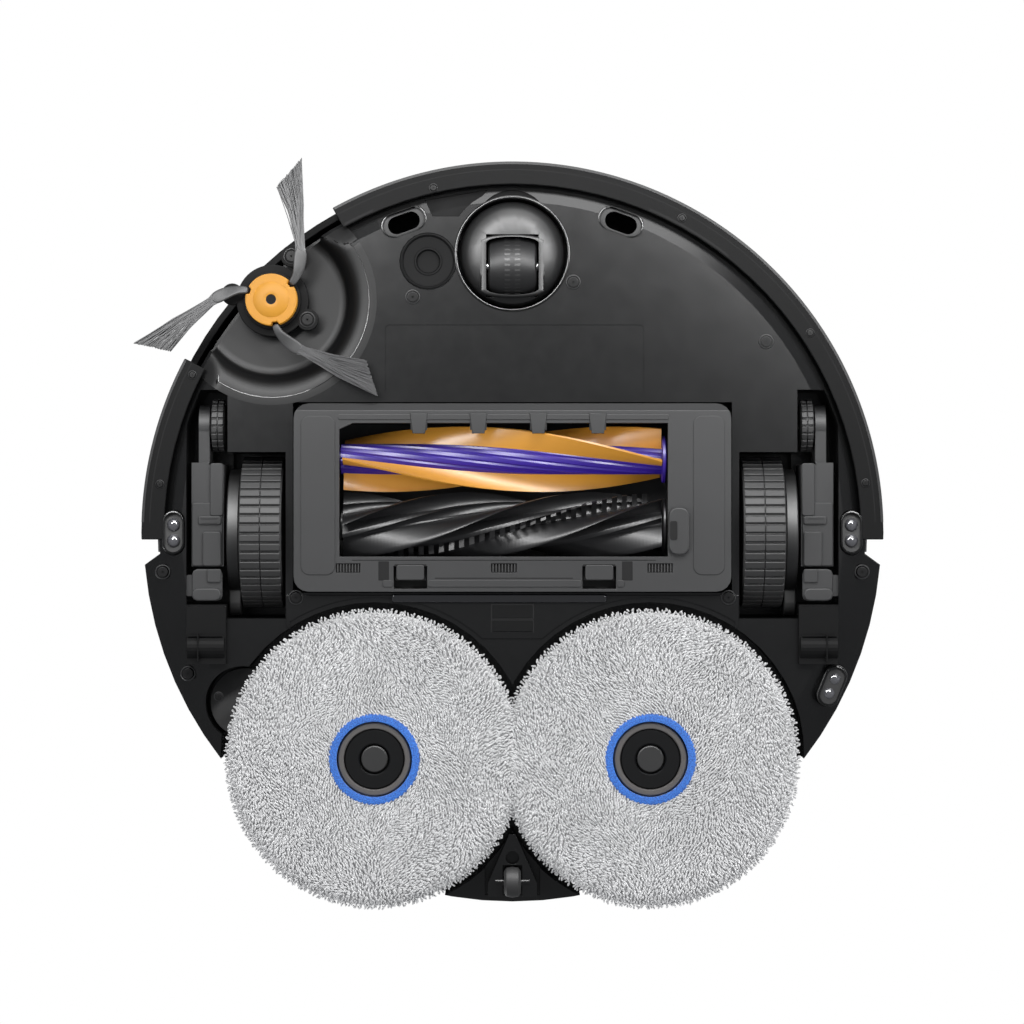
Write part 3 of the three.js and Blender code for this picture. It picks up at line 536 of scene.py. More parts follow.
def add_arc_strip(bm, r0, r1, first, last, z0, z1):
    """A thin strip that follows the rim, between two angles in degrees from the front towards the right side."""
    count = max(4, int(abs(last - first) * 1.2))
    sweep = [math.radians(first + (last - first) * k / count) for k in range(count + 1)]
    add_prism(bm, [(-r1 * math.sin(a), -r1 * math.cos(a)) for a in sweep] +
              [(-r0 * math.sin(a), -r0 * math.cos(a)) for a in reversed(sweep)], z0, z1)


def make_bumper_lines(finish):
    """Strips on the flange: a near-black line painted as the shade of the fine groove between the outer skin and the
    flange, a lighter strip on the skin's outer edge painted as the highlight it catches, and near-black strips painted
    as the shade in the slots beside the caster.
    """
    z = span("bumper")[0].z
    # painted shade on the groove line; painted highlight on the skin strip, lighter than the flange where light catches
    # the outer edge
    for name, r0, r1, paint in (("groove", 0.1709, 0.1713, "painted_shade"), ("skin", 0.1737, 0.17495, "roller")):
        bm = bmesh.new()
        for first, last in ((-88.4, 28.8), (62.2, 88.4)):
            add_arc_strip(bm, r0, r1, first, last, z - (0.00004 if name == "groove" else 0.0002), z + 0.0003)
        piece("bumper_" + name, bm, "bumper_body", finish[paint])
    # painted shade: near-black strips stand for the shade inside the slots
    bm = bmesh.new()
    for first, last in ((-38, -23), (23.4, 28.6)):
        add_arc_strip(bm, 0.1650, 0.1660, first, last, z - 0.00005, z + 0.0003)
    piece("bumper_slot_shade", bm, "bumper_body", finish["painted_shade"])


# ---------------------------------------------------------------- fasteners
def make_screw(name, x, y, z, body, finish, r=0.0026):
    """A countersunk cross-head screw in a dark ring, its head facing down."""
    bm = bmesh.new()
    add_turned(bm, [(r * 1.22, -0.0001), (r * 1.3, -0.00045), (r * 1.42, -0.0004), (r * 1.5, 0.0)],
               (x, y, z), steps=36)
    piece(name + "_ring", bm, body, finish["roller"])
    bm = bmesh.new()
    add_prism(bm, circle(x, y, r, 32), z - 0.0005, z + 0.0004, 0.00025, 2)
    turn = random.uniform(0, math.pi)
    for k in range(2):
        arm = rounded(-0.75 * r, 0.75 * r, -0.16 * r, 0.16 * r, 0.1 * r, 3)
        c, s = math.cos(turn + k * math.pi / 2), math.sin(turn + k * math.pi / 2)
        add_prism(bm, [(x + u * c - v * s, y + u * s + v * c) for u, v in arm], z - 0.00062, z - 0.0004)
    piece(name, bm, body, finish["screw"])


def plate_height(x, y):
    inner = 1 - 0.0034 / math.hypot(x, y)
    return PLATE_Z + rim_rise(x * inner, y * inner)


def make_screws(finish):
    centres = [(-47, -111.1), (28.7, -118.1), (119.6, -90), (-165.2, 18.6), (165.2, 18.6), (-153.3, 66.6),
               (-102, 30.6), (101.8, 30.6), (-138.5, 77.2)]
    for i, (x, y) in enumerate(centres):
        x, y = x * MM, y * MM
        z = plate_height(x, y) - (0.0006 if i in (6, 7) else 0)
        make_screw(f"base_screw_{i + 1}", x, y, z, "chassis", finish, 0.0024 if i != 8 else 0.0015)
    rim = [(-37.3, -162.5), (-150.9, -74.3), (-166.2, -22.8), (79.9, -148.3), (140.4, -94.2), (166.5, -23.4)]
    for i, (x, y) in enumerate(rim):
        make_screw(f"bumper_screw_{i + 1}", x * MM, y * MM, span("bumper")[0].z, "bumper_body", finish, 0.0014)


# ---------------------------------------------------------------- rollers
def add_twisted(bm, outline, x0, x1, y, z, start, rate, steps):
    """A section swept along X and turned as it goes; section u points down (-Z) and v towards +Y at angle 0."""
    def lay(u, v, x):
        a = start + rate * (x - x0)
        return Vector((x, y + u * math.sin(a) + v * math.cos(a), z - u * math.cos(a) + v * math.sin(a)))
    verts = [bm.verts.new(lay(u, v, x0)) for u, v in outline]
    cap = bm.faces.new(verts)
    for i in range(1, steps + 1):
        x = x0 + (x1 - x0) * i / steps
        grown = bmesh.ops.extrude_face_region(bm, geom=[cap])["geom"]
        cap = next(g for g in grown if isinstance(g, bmesh.types.BMFace))
        turn = Matrix.Rotation(rate * (x1 - x0) / steps, 4, "X")
        move = Matrix.Translation((x, y, z)) @ turn @ Matrix.Translation((-x + (x1 - x0) / steps, -y, -z))
        moved = [g for g in grown if isinstance(g, bmesh.types.BMVert)]
        bmesh.ops.transform(bm, matrix=move, verts=moved)


def ribbed_circle(r, depth, ribs, per_rib=4):
    count = ribs * per_rib
    return [((r - depth * (i % per_rib in (0,))) * math.cos(2 * math.pi * i / count),
             (r - depth * (i % per_rib in (0,))) * math.sin(2 * math.pi * i / count)) for i in range(count)]


def fin_section(root_r, tip_r, root_w, tip_w, lean):
    """A blade from the core to its tip, leaning over towards one side."""
    left, right = [], []
    for i in range(8):
        t = i / 7
        r = root_r + (tip_r - root_r) * t
        w = root_w * (1 - t) ** 1.6 + tip_w
        off = lean * t * t
        left.append((r * math.cos(off / r) , r * math.sin(off / r) + w / 2))
        right.append((r * math.cos(off / r), r * math.sin(off / r) - w / 2))
    return left + right[::-1]


def make_front_roller(finish):
    low, high, mid = span("front_roller_fins")
    x0, x1, y, z = low.x, high.x, mid.y, mid.z
    tip = (high.z - low.z) / 2
    rate = math.radians(0.991) / MM
    core_r = 7.2 * MM
    bm = bmesh.new()
    add_twisted(bm, ribbed_circle(core_r, 0.55 * MM, 13), x0, x1 - 0.002, y, z, 0, rate, 70)
    add_turned(bm, [(0, x0 - 0.0045), (0.0045, x0 - 0.0045), (0.0052, x0 - 0.004), (0.0052, x0 + 0.0002)],
               (0, y, z), "X", 40)
    add_turned(bm, [(0, x1), (0.0100, x1), (0.0112, x1 - 0.0006), (0.0112, x1 - 0.0018), (0.010, x1 - 0.0022),
                    (0, x1 - 0.0022)], (0, y, z), "X", 64)
    piece("front_roller_tube", bm, "front_roller", finish["purple"],
          ("front_roller_core", "front_roller_gear"))
    bm = bmesh.new()
    for share in (0, 72, 144, 216):
        add_twisted(bm, fin_section(core_r - 0.0006, tip, 0.0028, 0.0009, -0.0026), x0 + 0.0012, x1 - 0.0024, y, z,
                    math.radians(share + 9), rate, 90)
    piece("front_roller_blades", bm, "front_roller", finish["gold"], ("front_roller_fins",), 50)


def make_rear_roller(finish):
    low, high, mid = span("rear_roller_fins")
    x0, x1, y, z = low.x, high.x, mid.y, mid.z
    tip = (high.z - low.z) / 2
    rate = -math.radians(1.54) / MM
    core_r = 7.4 * MM
    first = rate * (x0 + 0.0354)
    bm = bmesh.new()
    add_twisted(bm, ribbed_circle(core_r, 0.4 * MM, 10), x0, x1 - 0.0022, y, z, 0, rate, 60)
    for share in (0, 90, 180, 270):
        add_twisted(bm, fin_section(core_r - 0.0006, tip, 0.0042, 0.0010, 0.0050), x0 + 0.001, x1 - 0.0024, y, z,
                    first + math.radians(share), rate, 90)
        add_twisted(bm, fin_section(core_r - 0.0006, tip - 0.0045, 0.0048, 0.0016, 0.002), x0 + 0.001, x1 - 0.0024,
                    y, z, first + math.radians(share + 38), rate, 60)
    for end, step in ((x1, -1),):
        add_turned(bm, [(0, end), (0.0112, end), (0.0124, end + step * 0.0006), (0.0124, end + step * 0.0014),
                        (0.011, end + step * 0.0020), (0, end + step * 0.0020)], (0, y, z), "X", 64)
    piece("rear_roller_blades", bm, "rear_roller", finish["fin_black"],
          ("rear_roller_fins", "rear_roller_core", "rear_roller_gear"), 50)
    bm = bmesh.new()
    pitch = 0.0048
    comb_start = rate * (x0 - 0.002)
    count = int((x1 - x0 - 0.006) / pitch)
    for i in range(count):
        x = x0 + 0.003 + i * pitch
        tooth = fin_section(core_r - 0.0006, tip - 0.0006, 0.0022, 0.0013, 0.002)
        add_twisted(bm, tooth, x, x + 0.0024, y, z, comb_start + rate * (x - x0), rate, 1)
    piece("rear_roller_comb", bm, "rear_roller", finish["fin_black"])


# ---------------------------------------------------------------- brush guard
def make_guard(finish):
    refined("brush_guard", "guard", finish["grey"], 0.45)
    low, high, _ = span("brush_guard")
    rx0, rx1 = span("front_roller_fins")[0].x, span("front_roller_fins")[1].x
    face = low.z
    bm = bmesh.new()
    proud = face - 0.00045
    flush = face + 0.0004
    left = rounded(low.x + 0.0035, rx0 - 0.0025, low.y + 0.006, high.y - 0.008, 0.004)
    right = rounded(rx1 + 0.0125, high.x - 0.0032, low.y + 0.006, high.y - 0.008, 0.004)
    beam = rounded(rx0 - 0.001, rx1 + 0.001, low.y + 0.0052, low.y + 0.0078, 0.001)
    bands = [rounded(x0, x1, high.y - 0.0055, high.y - 0.0022, 0.001)
             for x0, x1 in ((rx0 + 0.020, -0.0562), (-0.0398, 0.0325), (0.0491, rx1 - 0.020))]
    for plate in (left, right, beam, *bands):
        add_prism(bm, plate, proud, flush, 0.0003)
    for x in (-0.044, -0.016, 0.0122, 0.0401):
        foot = [(x - 0.0042, -0.0562), (x + 0.0042, -0.0562), (x + 0.0029, -0.0466), (x - 0.0029, -0.0466)]
        add_prism(bm, foot, face - 0.0009, face + 0.0012, 0.0004)
    piece("guard_trim", bm, "guard", finish["grey"])
    bm = bmesh.new()
    block = rounded(rx1 + 0.0008, rx1 + 0.0107, -0.012, 0.0105, 0.0042)
    add_prism(bm, block, face - 0.0022, face + 0.0004, 0.0009, 3)
    for x0, x1 in ((-0.0545, -0.0415), (0.0342, 0.0474)):
        add_prism(bm, rounded(x0, x1, 0.0152, 0.0222, 0.0012), face - 0.0012, face + 0.0008, 0.0004)
    piece("guard_blocks", bm, "guard", finish["grey"])
    # painted shade: near-black patches on the side block and in the three openings stand for the shade in those hollows
    bm = bmesh.new()
    add_prism(bm, rounded(rx1 + 0.0014, rx1 + 0.0048, -0.0055, 0.0035, 0.001), face - 0.0024, face - 0.0021)
    for x0, x1 in ((-0.083, -0.0715), (-0.010, 0.002), (0.0635, 0.0753)):
        add_prism(bm, rounded(x0 + 0.0002, x1 - 0.0002, 0.0147, 0.0186, 0.0006), face + 0.0012, face + 0.002)
    piece("guard_hollow_shade", bm, "guard", finish["painted_shade"])
    bm = bmesh.new()
    for x0, x1 in ((-0.083, -0.0715), (-0.010, 0.002), (0.0635, 0.0753)):
        for k in range(8):
            x = x0 + 0.0009 + k * (x1 - x0 - 0.0018) / 7
            add_prism(bm, rounded(x - 0.0003, x + 0.0003, 0.0147, 0.0186, 0.0002, 2), face + 0.0002, face + 0.0013)
    piece("guard_louvres", bm, "guard", finish["dark"])
    # painted shade: thin near-black strips stand for the shade in the guard's grooves
    bm = bmesh.new()
    for x0, x1, y0, y1 in ((-0.0555, -0.0404, 0.0149, 0.0158), (0.0332, 0.0484, 0.0149, 0.0158),
                           (-0.063, -0.058, 0.0135, 0.0225), (0.0515, 0.0565, 0.0135, 0.0225),
                           (-0.0365, 0.0285, 0.0212, 0.0216), (-0.0755, 0.0675, 0.0128, 0.0131)):
        add_prism(bm, rounded(x0, x1, y0, y1, 0.0002, 2), face - 0.00006, face + 0.0004)
    piece("guard_groove_shade", bm, "guard", finish["painted_shade"])


def make_wiper(finish):
    bm = bmesh.new()
    z = PLATE_Z
    add_prism(bm, rounded(-0.057, 0.0445, 0.0289, 0.0330, 0.0015), z - 0.0020, z + 0.001, 0.0009, 3)
    piece("wiper_strip", bm, "chassis", finish["gloss"])
    bm = bmesh.new()
    arc_r = 0.0757
    plate = [(-0.1067, 0.0294), (0.1067, 0.0294)]
    plate += [(0.1067, 0.0440), (0.1045, 0.0462)]
    plate += circle(0.0648, 0.1063, arc_r, 22, math.radians(-58), math.radians(-132))
    plate += circle(-0.0648, 0.1063, arc_r, 22, math.radians(-48), math.radians(-122))
    plate += [(-0.1045, 0.0462), (-0.1067, 0.0440)]
    add_prism(bm, plate, z - 0.0006, z + 0.0002, 0.0003)
    piece("rear_brow", bm, "chassis", finish["shell"])
    # painted shade: a near-black sheet behind the flap shows as a dark outline, standing for the shade in the gap
    # around it
    bm = bmesh.new()
    add_prism(bm, rounded(-0.0102, 0.0102, 0.0336, 0.0407, 0.0004), z - 0.0007, z - 0.0001)
    add_prism(bm, rounded(-0.0102, 0.0102, 0.0409, 0.0470, 0.0004), z - 0.0007, z - 0.0001)
    piece("brow_flap_gap_shade", bm, "chassis", finish["painted_shade"])
    bm = bmesh.new()
    add_prism(bm, rounded(-0.0096, 0.0096, 0.0340, 0.0403, 0.0004), z - 0.0009, z - 0.0002, 0.0002)
    add_prism(bm, rounded(-0.0096, 0.0096, 0.0413, 0.0466, 0.0004), z - 0.0011, z - 0.0002, 0.0002)
    piece("brow_flap", bm, "chassis", finish["bumper"])


# ---------------------------------------------------------------- caster and rear wheel
def make_caster(finish):
    refined("caster_housing", "caster", finish["dome"], 0.5, 40)
    low, high, mid = span("caster_wheel")
    r = (high.z - low.z) / 2
    half = (high.x - low.x) / 2
    bm = bmesh.new()
    profile = [(0.0024, -half), (r - 0.0028, -half), (r - 0.0019, -half + 0.0006)]
    profile += [(r - 0.0018 * abs(x / half) ** 2.4, x) for x in [half * (i / 10 - 1) * 0.93 for i in range(21)]]
    profile += [(r - 0.0019, half - 0.0006), (r - 0.0028, half), (0.0024, half), (0.0024, -half)]
    add_turned(bm, profile, (0, mid.y, mid.z), "X", 96)
    piece("caster_barrel", bm, "caster_roller", finish["roller"], ("caster_wheel",))
    bm = bmesh.new()
    for i in range(34):
        a = 2 * math.pi * i / 34
        for x in (-0.0024, 0.0024):
            half_w = 0.0013
            dash = [(x - half_w, -0.0005), (x + half_w, -0.0005), (x + half_w, 0.0005), (x - half_w, 0.0005)]
            spot = bmesh.new()
            add_prism(spot, dash, -r - 0.00002, -r + 0.0006)
            bmesh.ops.transform(spot, verts=spot.verts, matrix=Matrix.Translation((0, mid.y, mid.z)) @
                                Matrix.Rotation(a, 4, "X"))
            bm.from_mesh(as_mesh(spot))
    piece("caster_tread", bm, "caster_roller", finish["dark"])
    bm = bmesh.new()
    x, y = CASTER.x, CASTER.y
    add_turned(bm, [(0.0258, PLATE_Z + 0.004), (0.0259, PLATE_Z), (0.0263, PLATE_Z - 0.0004),
                    (0.0270, PLATE_Z - 0.0004),
                    (0.0276, PLATE_Z + 0.00005)], (x, y, 0), steps=120)
    piece("caster_collar", bm, "chassis", finish["shell"], smooth=50)
    bm = bmesh.new()
    for side in (-1, 1):
        add_prism(bm, rounded(side * 0.0138 - 0.0013, side * 0.0138 + 0.0013, mid.y - 0.005, mid.y + 0.005, 0.0008),
                  span("caster_housing")[0].z + 0.0004, span("caster_housing")[0].z + 0.006, 0.0004)
    piece("caster_cheeks", bm, "caster", finish["dark"])
    bm = bmesh.new()
    low, high = span("caster_housing")[0].z, span("caster_housing")[0].z + 0.004
    arch = [(-0.0150, mid.y + 0.0120), (-0.0150, mid.y - 0.0118)]
    arch += [(0.0150 * math.sin(a), mid.y - 0.0118 - 0.0032 * math.cos(a)) for a in
             [math.radians(-80 + 20 * k) for k in range(9)]]
    arch += [(0.0150, mid.y - 0.0118), (0.0150, mid.y + 0.0120)]
    arch += [(0.0150 * math.sin(a), mid.y + 0.0120 + 0.0032 * math.cos(a)) for a in
             [math.radians(80 - 20 * k) for k in range(9)]]
    hole = [(0.0124 * px / 0.0150, mid.y + (py - mid.y) * 0.91) for px, py in arch]
    add_frame_ring(bm, arch, hole, low + 0.0001, high, 0.0008)
    piece("caster_window_frame", bm, "caster", finish["dome"], smooth=50)


def as_mesh(bm):
    mesh = bpy.data.meshes.new("part")
    bm.to_mesh(mesh)
    bm.free()
    return mesh


def make_rear_wheel(finish):
    low, high, mid = span("rear_wheel")
    r, half = (high.z - low.z) / 2, (high.x - low.x) / 2
    bm = bmesh.new()
    add_turned(bm, [(0.002, -half), (r - 0.0022, -half), (r - 0.0005, -half + 0.0012), (r, 0),
                    (r - 0.0005, half - 0.0012),
                    (r - 0.0022, half), (0.002, half), (0.002, -half)], (0, mid.y, mid.z), "X", 64)
    piece("rear_wheel_tread", bm, "rear_roller_wheel", finish["tyre"], ("rear_wheel",))


# ---------------------------------------------------------------- drive wheels and climbing legs
def add_ribbed_wheel(bm, x0, x1, y, z, r, ribs, depth, hole):
    """Two rows of cross ribs on a plain band, with a fine groove between the rows."""
    middle = (x0 + x1) / 2
    groove = 0.0002
    outline = []
    for i in range(ribs):
        for share, level in ((0.0, r - depth), (0.16, r - depth), (0.24, r), (0.92, r)):
            a = 2 * math.pi * (i + share) / ribs
            outline.append((level * math.cos(a), level * math.sin(a)))
    edge = 0.0005
    for a, b in ((x0 + edge, middle - groove), (middle + groove, x1 - edge)):
        add_twisted(bm, outline, a, b, y, z, 0, 0, 1)
    inner = r - depth - 0.0002
    add_turned(bm, [(hole, x0), (r - 0.0022, x0), (inner, x0 + 0.0012), (inner, x1 - 0.0012), (r - 0.0022, x1),
                    (hole, x1), (hole, x0)], (0, y, z), "X", 72)


def make_wheels(finish):
    for side in ("left", "right"):
        low, high, mid = span(f"tyre_{side}")
        r = (high.z - low.z) / 2
        bm = bmesh.new()
        add_ribbed_wheel(bm, low.x, high.x, mid.y, mid.z, r, 51, 0.0012, 0.0306)
        tread = piece(f"drive_tread_{side}", bm, f"drive_wheel_{side}", finish["tyre"], (f"tyre_{side}",))
        soften_edges(tread, 0.25)
        hub_low, hub_high, hub = span(f"wheel_hub_{side}")
        bm = bmesh.new()
        x0, x1 = hub_low.x, hub_high.x
        hub_r = (hub_high.z - hub_low.z) / 2
        add_turned(bm, [(0, x0 + 0.001), (0.006, x0 + 0.0004), (0.010, x0 + 0.0016), (hub_r - 0.006, x0 + 0.0016),
                        (hub_r - 0.003, x0), (hub_r, x0 + 0.0004), (hub_r, x1 - 0.0004), (hub_r - 0.003, x1),
                        (hub_r - 0.006, x1 - 0.0014), (0.010, x1 - 0.0014), (0.006, x1 - 0.0004), (0, x1 - 0.001)],
                   (0, hub.y, hub.z), "X", 72)
        piece(f"drive_hub_{side}", bm, f"drive_wheel_{side}", finish["dark"], (f"wheel_hub_{side}",))
        low, high, mid = span(f"leg_wheel_{side}")
        bm = bmesh.new()
        add_ribbed_wheel(bm, low.x, high.x, mid.y, mid.z, (high.z - low.z) / 2, 22, 0.0009, 0.0023)
        tread = piece(f"leg_tread_{side}", bm, f"leg_roller_{side}", finish["tyre"],
                      (f"leg_wheel_{side}",))
        soften_edges(tread, 0.2)


def make_leg_details(finish):
    """Steps, ribs and covers on the climbing legs, and the drive housing behind each."""
    for side, sx in (("left", 1), ("right", -1)):
        under = span(f"leg_arm_{side}")[0].z
        bm = bmesh.new()
        for x0, x1, y0, y1, drop in ((0.1366, 0.1428, -0.0328, -0.0078, 0.0012),
                                     (0.1368, 0.1514, -0.0142, 0.0158, 0.0006),
                                     (0.1374, 0.1462, -0.0005, 0.0158, 0.0018),
                                     (0.1374, 0.1484, -0.0078, -0.0036, 0.0014)):
            add_prism(bm, across(sx, x0, x1, y0, y1, 0.0011), under - drop, under + 0.002, 0.0005, 3)
        for y in (-0.0068, -0.0046):
            add_prism(bm, across(sx, 0.1392, 0.1468, y - 0.0002, y + 0.0002, 0.0001), under - 0.0018, under - 0.001)
        piece(f"leg_steps_{side}", bm, f"leg_{side}", finish["grey"])
        bm = bmesh.new()
        add_prism(bm, across(sx, 0.1368, 0.1512, 0.0172, 0.0322, 0.0024), 0.0112, 0.0128, 0.0006, 3)
        add_prism(bm, across(sx, 0.1374, 0.1440, 0.0172, 0.0236, 0.0008), 0.0102, 0.0126, 0.0005, 3)
        add_prism(bm, across(sx, 0.1374, 0.1512, 0.0262, 0.0322, 0.0026), 0.0100, 0.0126, 0.0007, 3)
        add_prism(bm, across(sx, 0.1500, 0.1538, 0.0200, 0.0300, 0.0006), 0.0120, 0.0150)
        piece(f"leg_drive_cover_{side}", bm, "chassis", finish["grey"])
        low, high, mid = span(f"leg_motor_cover_{side}")
        bm = bmesh.new()
        add_prism(bm, across(sx, 0.1364, 0.1526, 0.0482, 0.0488, 0.0002), low.z + 0.0014, low.z + 0.0045)
        add_prism(bm, across(sx, 0.1475, 0.1480, 0.0475, 0.0605, 0.0002), low.z - 0.0003, low.z + 0.0045)
        piece(f"leg_cover_ribs_{side}", bm, "chassis", finish["bumper"])


def across(sx, x0, x1, y0, y1, r=0.0004):
    return rounded(min(sx * x0, sx * x1), max(sx * x0, sx * x1), y0, y1, r, 3)


# ---------------------------------------------------------------- side brush
def polar(centre, r, degrees, z):
    a = math.radians(degrees)
    return Vector((centre.x + r * math.cos(a), centre.y + r * math.sin(a), z))


def make_side_brush(finish):
    low, high, hub = span("side_brush_hub")
    z0, z1, r = low.z, high.z, (high.x - low.x) / 2
    starts = (58.8, 178.8, 298.8)
    outline = []
    for k in range(120):
        a = 3.0 * k
        near = min(abs((a - s - 22 + 180) % 360 - 180) for s in starts)
        outline.append((hub.x + (r - (0.0016 if near < 7 else 0)) * math.cos(math.radians(a)),
                        hub.y + (r - (0.0016 if near < 7 else 0)) * math.sin(math.radians(a))))
    bm = bmesh.new()
    add_prism(bm, outline, z0 + 0.0012, z1, 0.0006)
    add_turned(bm, [(0.0023, z0 + 0.0018), (0.0024, z0 + 0.0002), (0.0040, z0 - 0.0002), (0.0072, z0 + 0.0004),
                    (0.0088, z0 + 0.0014)], (hub.x, hub.y, 0), steps=72)
    piece("side_brush_cap", bm, "side_brush", finish["hub_gold"], ("side_brush_hub",))
    bm = bmesh.new()
    add_turned(bm, [(0, z0 + 0.0007), (0.0012, z0 + 0.0008), (0.0025, z0 + 0.0004)], (hub.x, hub.y, 0), steps=32)
    piece("side_brush_screw", bm, "side_brush", finish["screw"])
    random.seed(7)
    for number, a0 in enumerate(starts, 1):
        make_neck(number, a0, hub, z0 + 0.0026, r, finish)
        make_fan(number, a0, hub, z0 + 0.0030, finish)


def make_neck(number, a0, hub, z, r, finish):
    """A flat strip that leaves the hub and gives half a turn before it holds the bristles."""
    stops = [(r - 0.0008, a0 + 23, 3.6, 0.2), (r + 0.003, a0 + 20, 3.6, 0.35), (0.0190, a0 + 13.5, 5.6, 0.55),
             (0.0235, a0 + 7, 6.6, 0.2), (0.0285, a0, 5.4, 0.0)]
    bm = bmesh.new()
    loops = []
    for i, (radius, angle, width, twist) in enumerate(stops):
        here = polar(hub, radius, angle, z + 0.0004)
        ahead = polar(hub, *stops[min(i + 1, len(stops) - 1)][:2], z)
        behind = polar(hub, *stops[max(i - 1, 0)][:2], z)
        along = (ahead - behind).normalized()
        across_way = Vector((-along.y, along.x, 0))
        lift = Vector((0, 0, 1))
        wide = across_way * math.cos(twist) + lift * math.sin(twist)
        thick = lift * math.cos(twist) - across_way * math.sin(twist)
        half_w, half_t = width / 2 * MM, 0.9 * MM
        ring = [(-1, -0.6), (-0.8, -1), (0.8, -1), (1, -0.6), (1, 0.6), (0.8, 1), (-0.8, 1), (-1, 0.6)]
        loops.append([bm.verts.new(here + wide * (half_w * u) + thick * (half_t * v)) for u, v in ring])
    for one, two in zip(loops, loops[1:]):
        for k in range(8):
            bm.faces.new((one[k], one[(k + 1) % 8], two[(k + 1) % 8], two[k]))
    bm.faces.new(loops[0][::-1])
    bm.faces.new(loops[-1])
    made = piece(f"side_brush_neck_{number}", bm, "side_brush", finish["neck"], smooth=60)
    round_off = made.modifiers.new("round_off", "SUBSURF")
    round_off.levels = round_off.render_levels = 2


def add_strand(bm, path, radius, tip_share, sides=5):
    """One thin bristle: a closed tube that narrows toward its tip."""
    rings = []
    for i, point in enumerate(path):
        ahead = (path[min(i + 1, len(path) - 1)] - path[max(i - 1, 0)]).normalized()
        sideways = ahead.cross(UP).normalized()
        lift = sideways.cross(ahead)
        r = radius * (1 + (tip_share - 1) * i / (len(path) - 1))
        rings.append([bm.verts.new(point + sideways * (r * math.cos(2 * math.pi * k / sides)) +
                                   lift * (r * math.sin(2 * math.pi * k / sides))) for k in range(sides)])
    for one, two in zip(rings, rings[1:]):
        for k in range(sides):
            bm.faces.new((one[k], one[(k + 1) % sides], two[(k + 1) % sides], two[k]))
    bm.faces.new(rings[0][::-1])
    bm.faces.new(rings[-1])


def make_fan(number, a0, hub, z, finish):
    root = polar(hub, 0.0280, a0, z)
    short_tip = polar(hub, 0.0530, a0 - 26, z - 0.0022)
    long_tip = polar(hub, 0.0675, a0 - 16.5, z - 0.0022)
    out = (long_tip - root).normalized()
    sideways = Vector((-out.y, out.x, 0))
    bm = bmesh.new()
    strands = 92
    for k in range(strands):
        share = (k + random.uniform(-0.4, 0.4)) / (strands - 1)
        foot = root + sideways * random.uniform(-0.0021, 0.0021) + Vector((0, 0, random.uniform(-0.0007, 0.0007)))
        tip = short_tip.lerp(long_tip, min(1, max(0, share)))
        tip += (tip - foot).normalized() * random.uniform(-0.0006, 0.0005)
        tip.z += random.uniform(-0.0008, 0.0010)
        middle = foot.lerp(tip, 0.5) + sideways * random.uniform(0.0002, 0.0012)
        middle += Vector((0, 0, random.uniform(0, 0.0006)))
        path = [foot - (tip - foot).normalized() * 0.0015, foot.lerp(middle, 0.5), middle, middle.lerp(tip, 0.55),
                tip]
        add_strand(bm, path, 0.00027, 0.8)
    piece(f"side_brush_tuft_{number}", bm, "side_brush", finish["bristle"],
          (f"side_brush_bristles_{number}",))


# ---------------------------------------------------------------- sensors in the underside
def add_frame_ring(bm, outer, inner, z0, z1, lip=0.0003):
    """A closed ring between two outlines with the same number of points, its lower outer edge eased."""
    levels = ((outer, z1, 0), (outer, z0 + lip, 0), (outer, z0, lip), (inner, z0, 0), (inner, z1, 0))
    centre = sum((Vector((x, y)) for x, y in outer), Vector((0, 0))) / len(outer)
    loops = []
    for outline, z, pull in levels:
        loop = []
        for x, y in outline:
            toward = (centre - Vector((x, y))).normalized() * pull
            loop.append(bm.verts.new((x + toward.x, y + toward.y, z)))
        loops.append(loop)
    loops.append(loops[0])
    n = len(outer)
    for one, two in zip(loops, loops[1:]):
        for i in range(n):
            bm.faces.new((one[i], one[(i + 1) % n], two[(i + 1) % n], two[i]))


def clear_bumper(bm):
    """Draws points in the path of the pressed bumper's flange back to its inner edge."""
    travel, inner = Vector((0, 0.004)), 0.1639
    for v in bm.verts:
        reach = v.co.xy - travel
        if v.co.y < -0.02 and reach.length > inner:
            v.co.xy = travel + reach * (inner / reach.length)


def make_slot(name, cx, cy, half, r, turn, finish, hole=None, rim=0.0010):
    """A thin bead around a pocket and, where given, a sunk lip that leaves a smaller dark hole."""
    bm = bmesh.new()
    add_frame_ring(bm, stadium(cx, cy, half, r, turn), stadium(cx, cy, half, r - rim, turn),
                   PLATE_Z - 0.0002, PLATE_Z + 0.0020)
    clear_bumper(bm)
    piece(name + "_rim", bm, "chassis", finish["shell"], smooth=50)
    if hole:
        bm = bmesh.new()
        add_frame_ring(bm, stadium(cx, cy, half, r - 0.0003, turn), stadium(cx, cy + 0.0004, *hole, turn),
                       PLATE_Z + 0.0012, PLATE_Z + 0.0034, 0.0002)
        clear_bumper(bm)
        piece(name + "_lip", bm, "chassis", finish["roller"], smooth=50)


def make_lens(name, x, y, r, z, body, finish):
    bm = bmesh.new()
    add_turned(bm, [(0, z - 0.0008), (r * 0.5, z - 0.0006), (r * 0.85, z + 0.0001), (r, z + 0.0008),
                    (r, z + 0.002), (0, z + 0.002)],
               (x, y, 0), steps=40)
    piece(name, bm, body, finish)


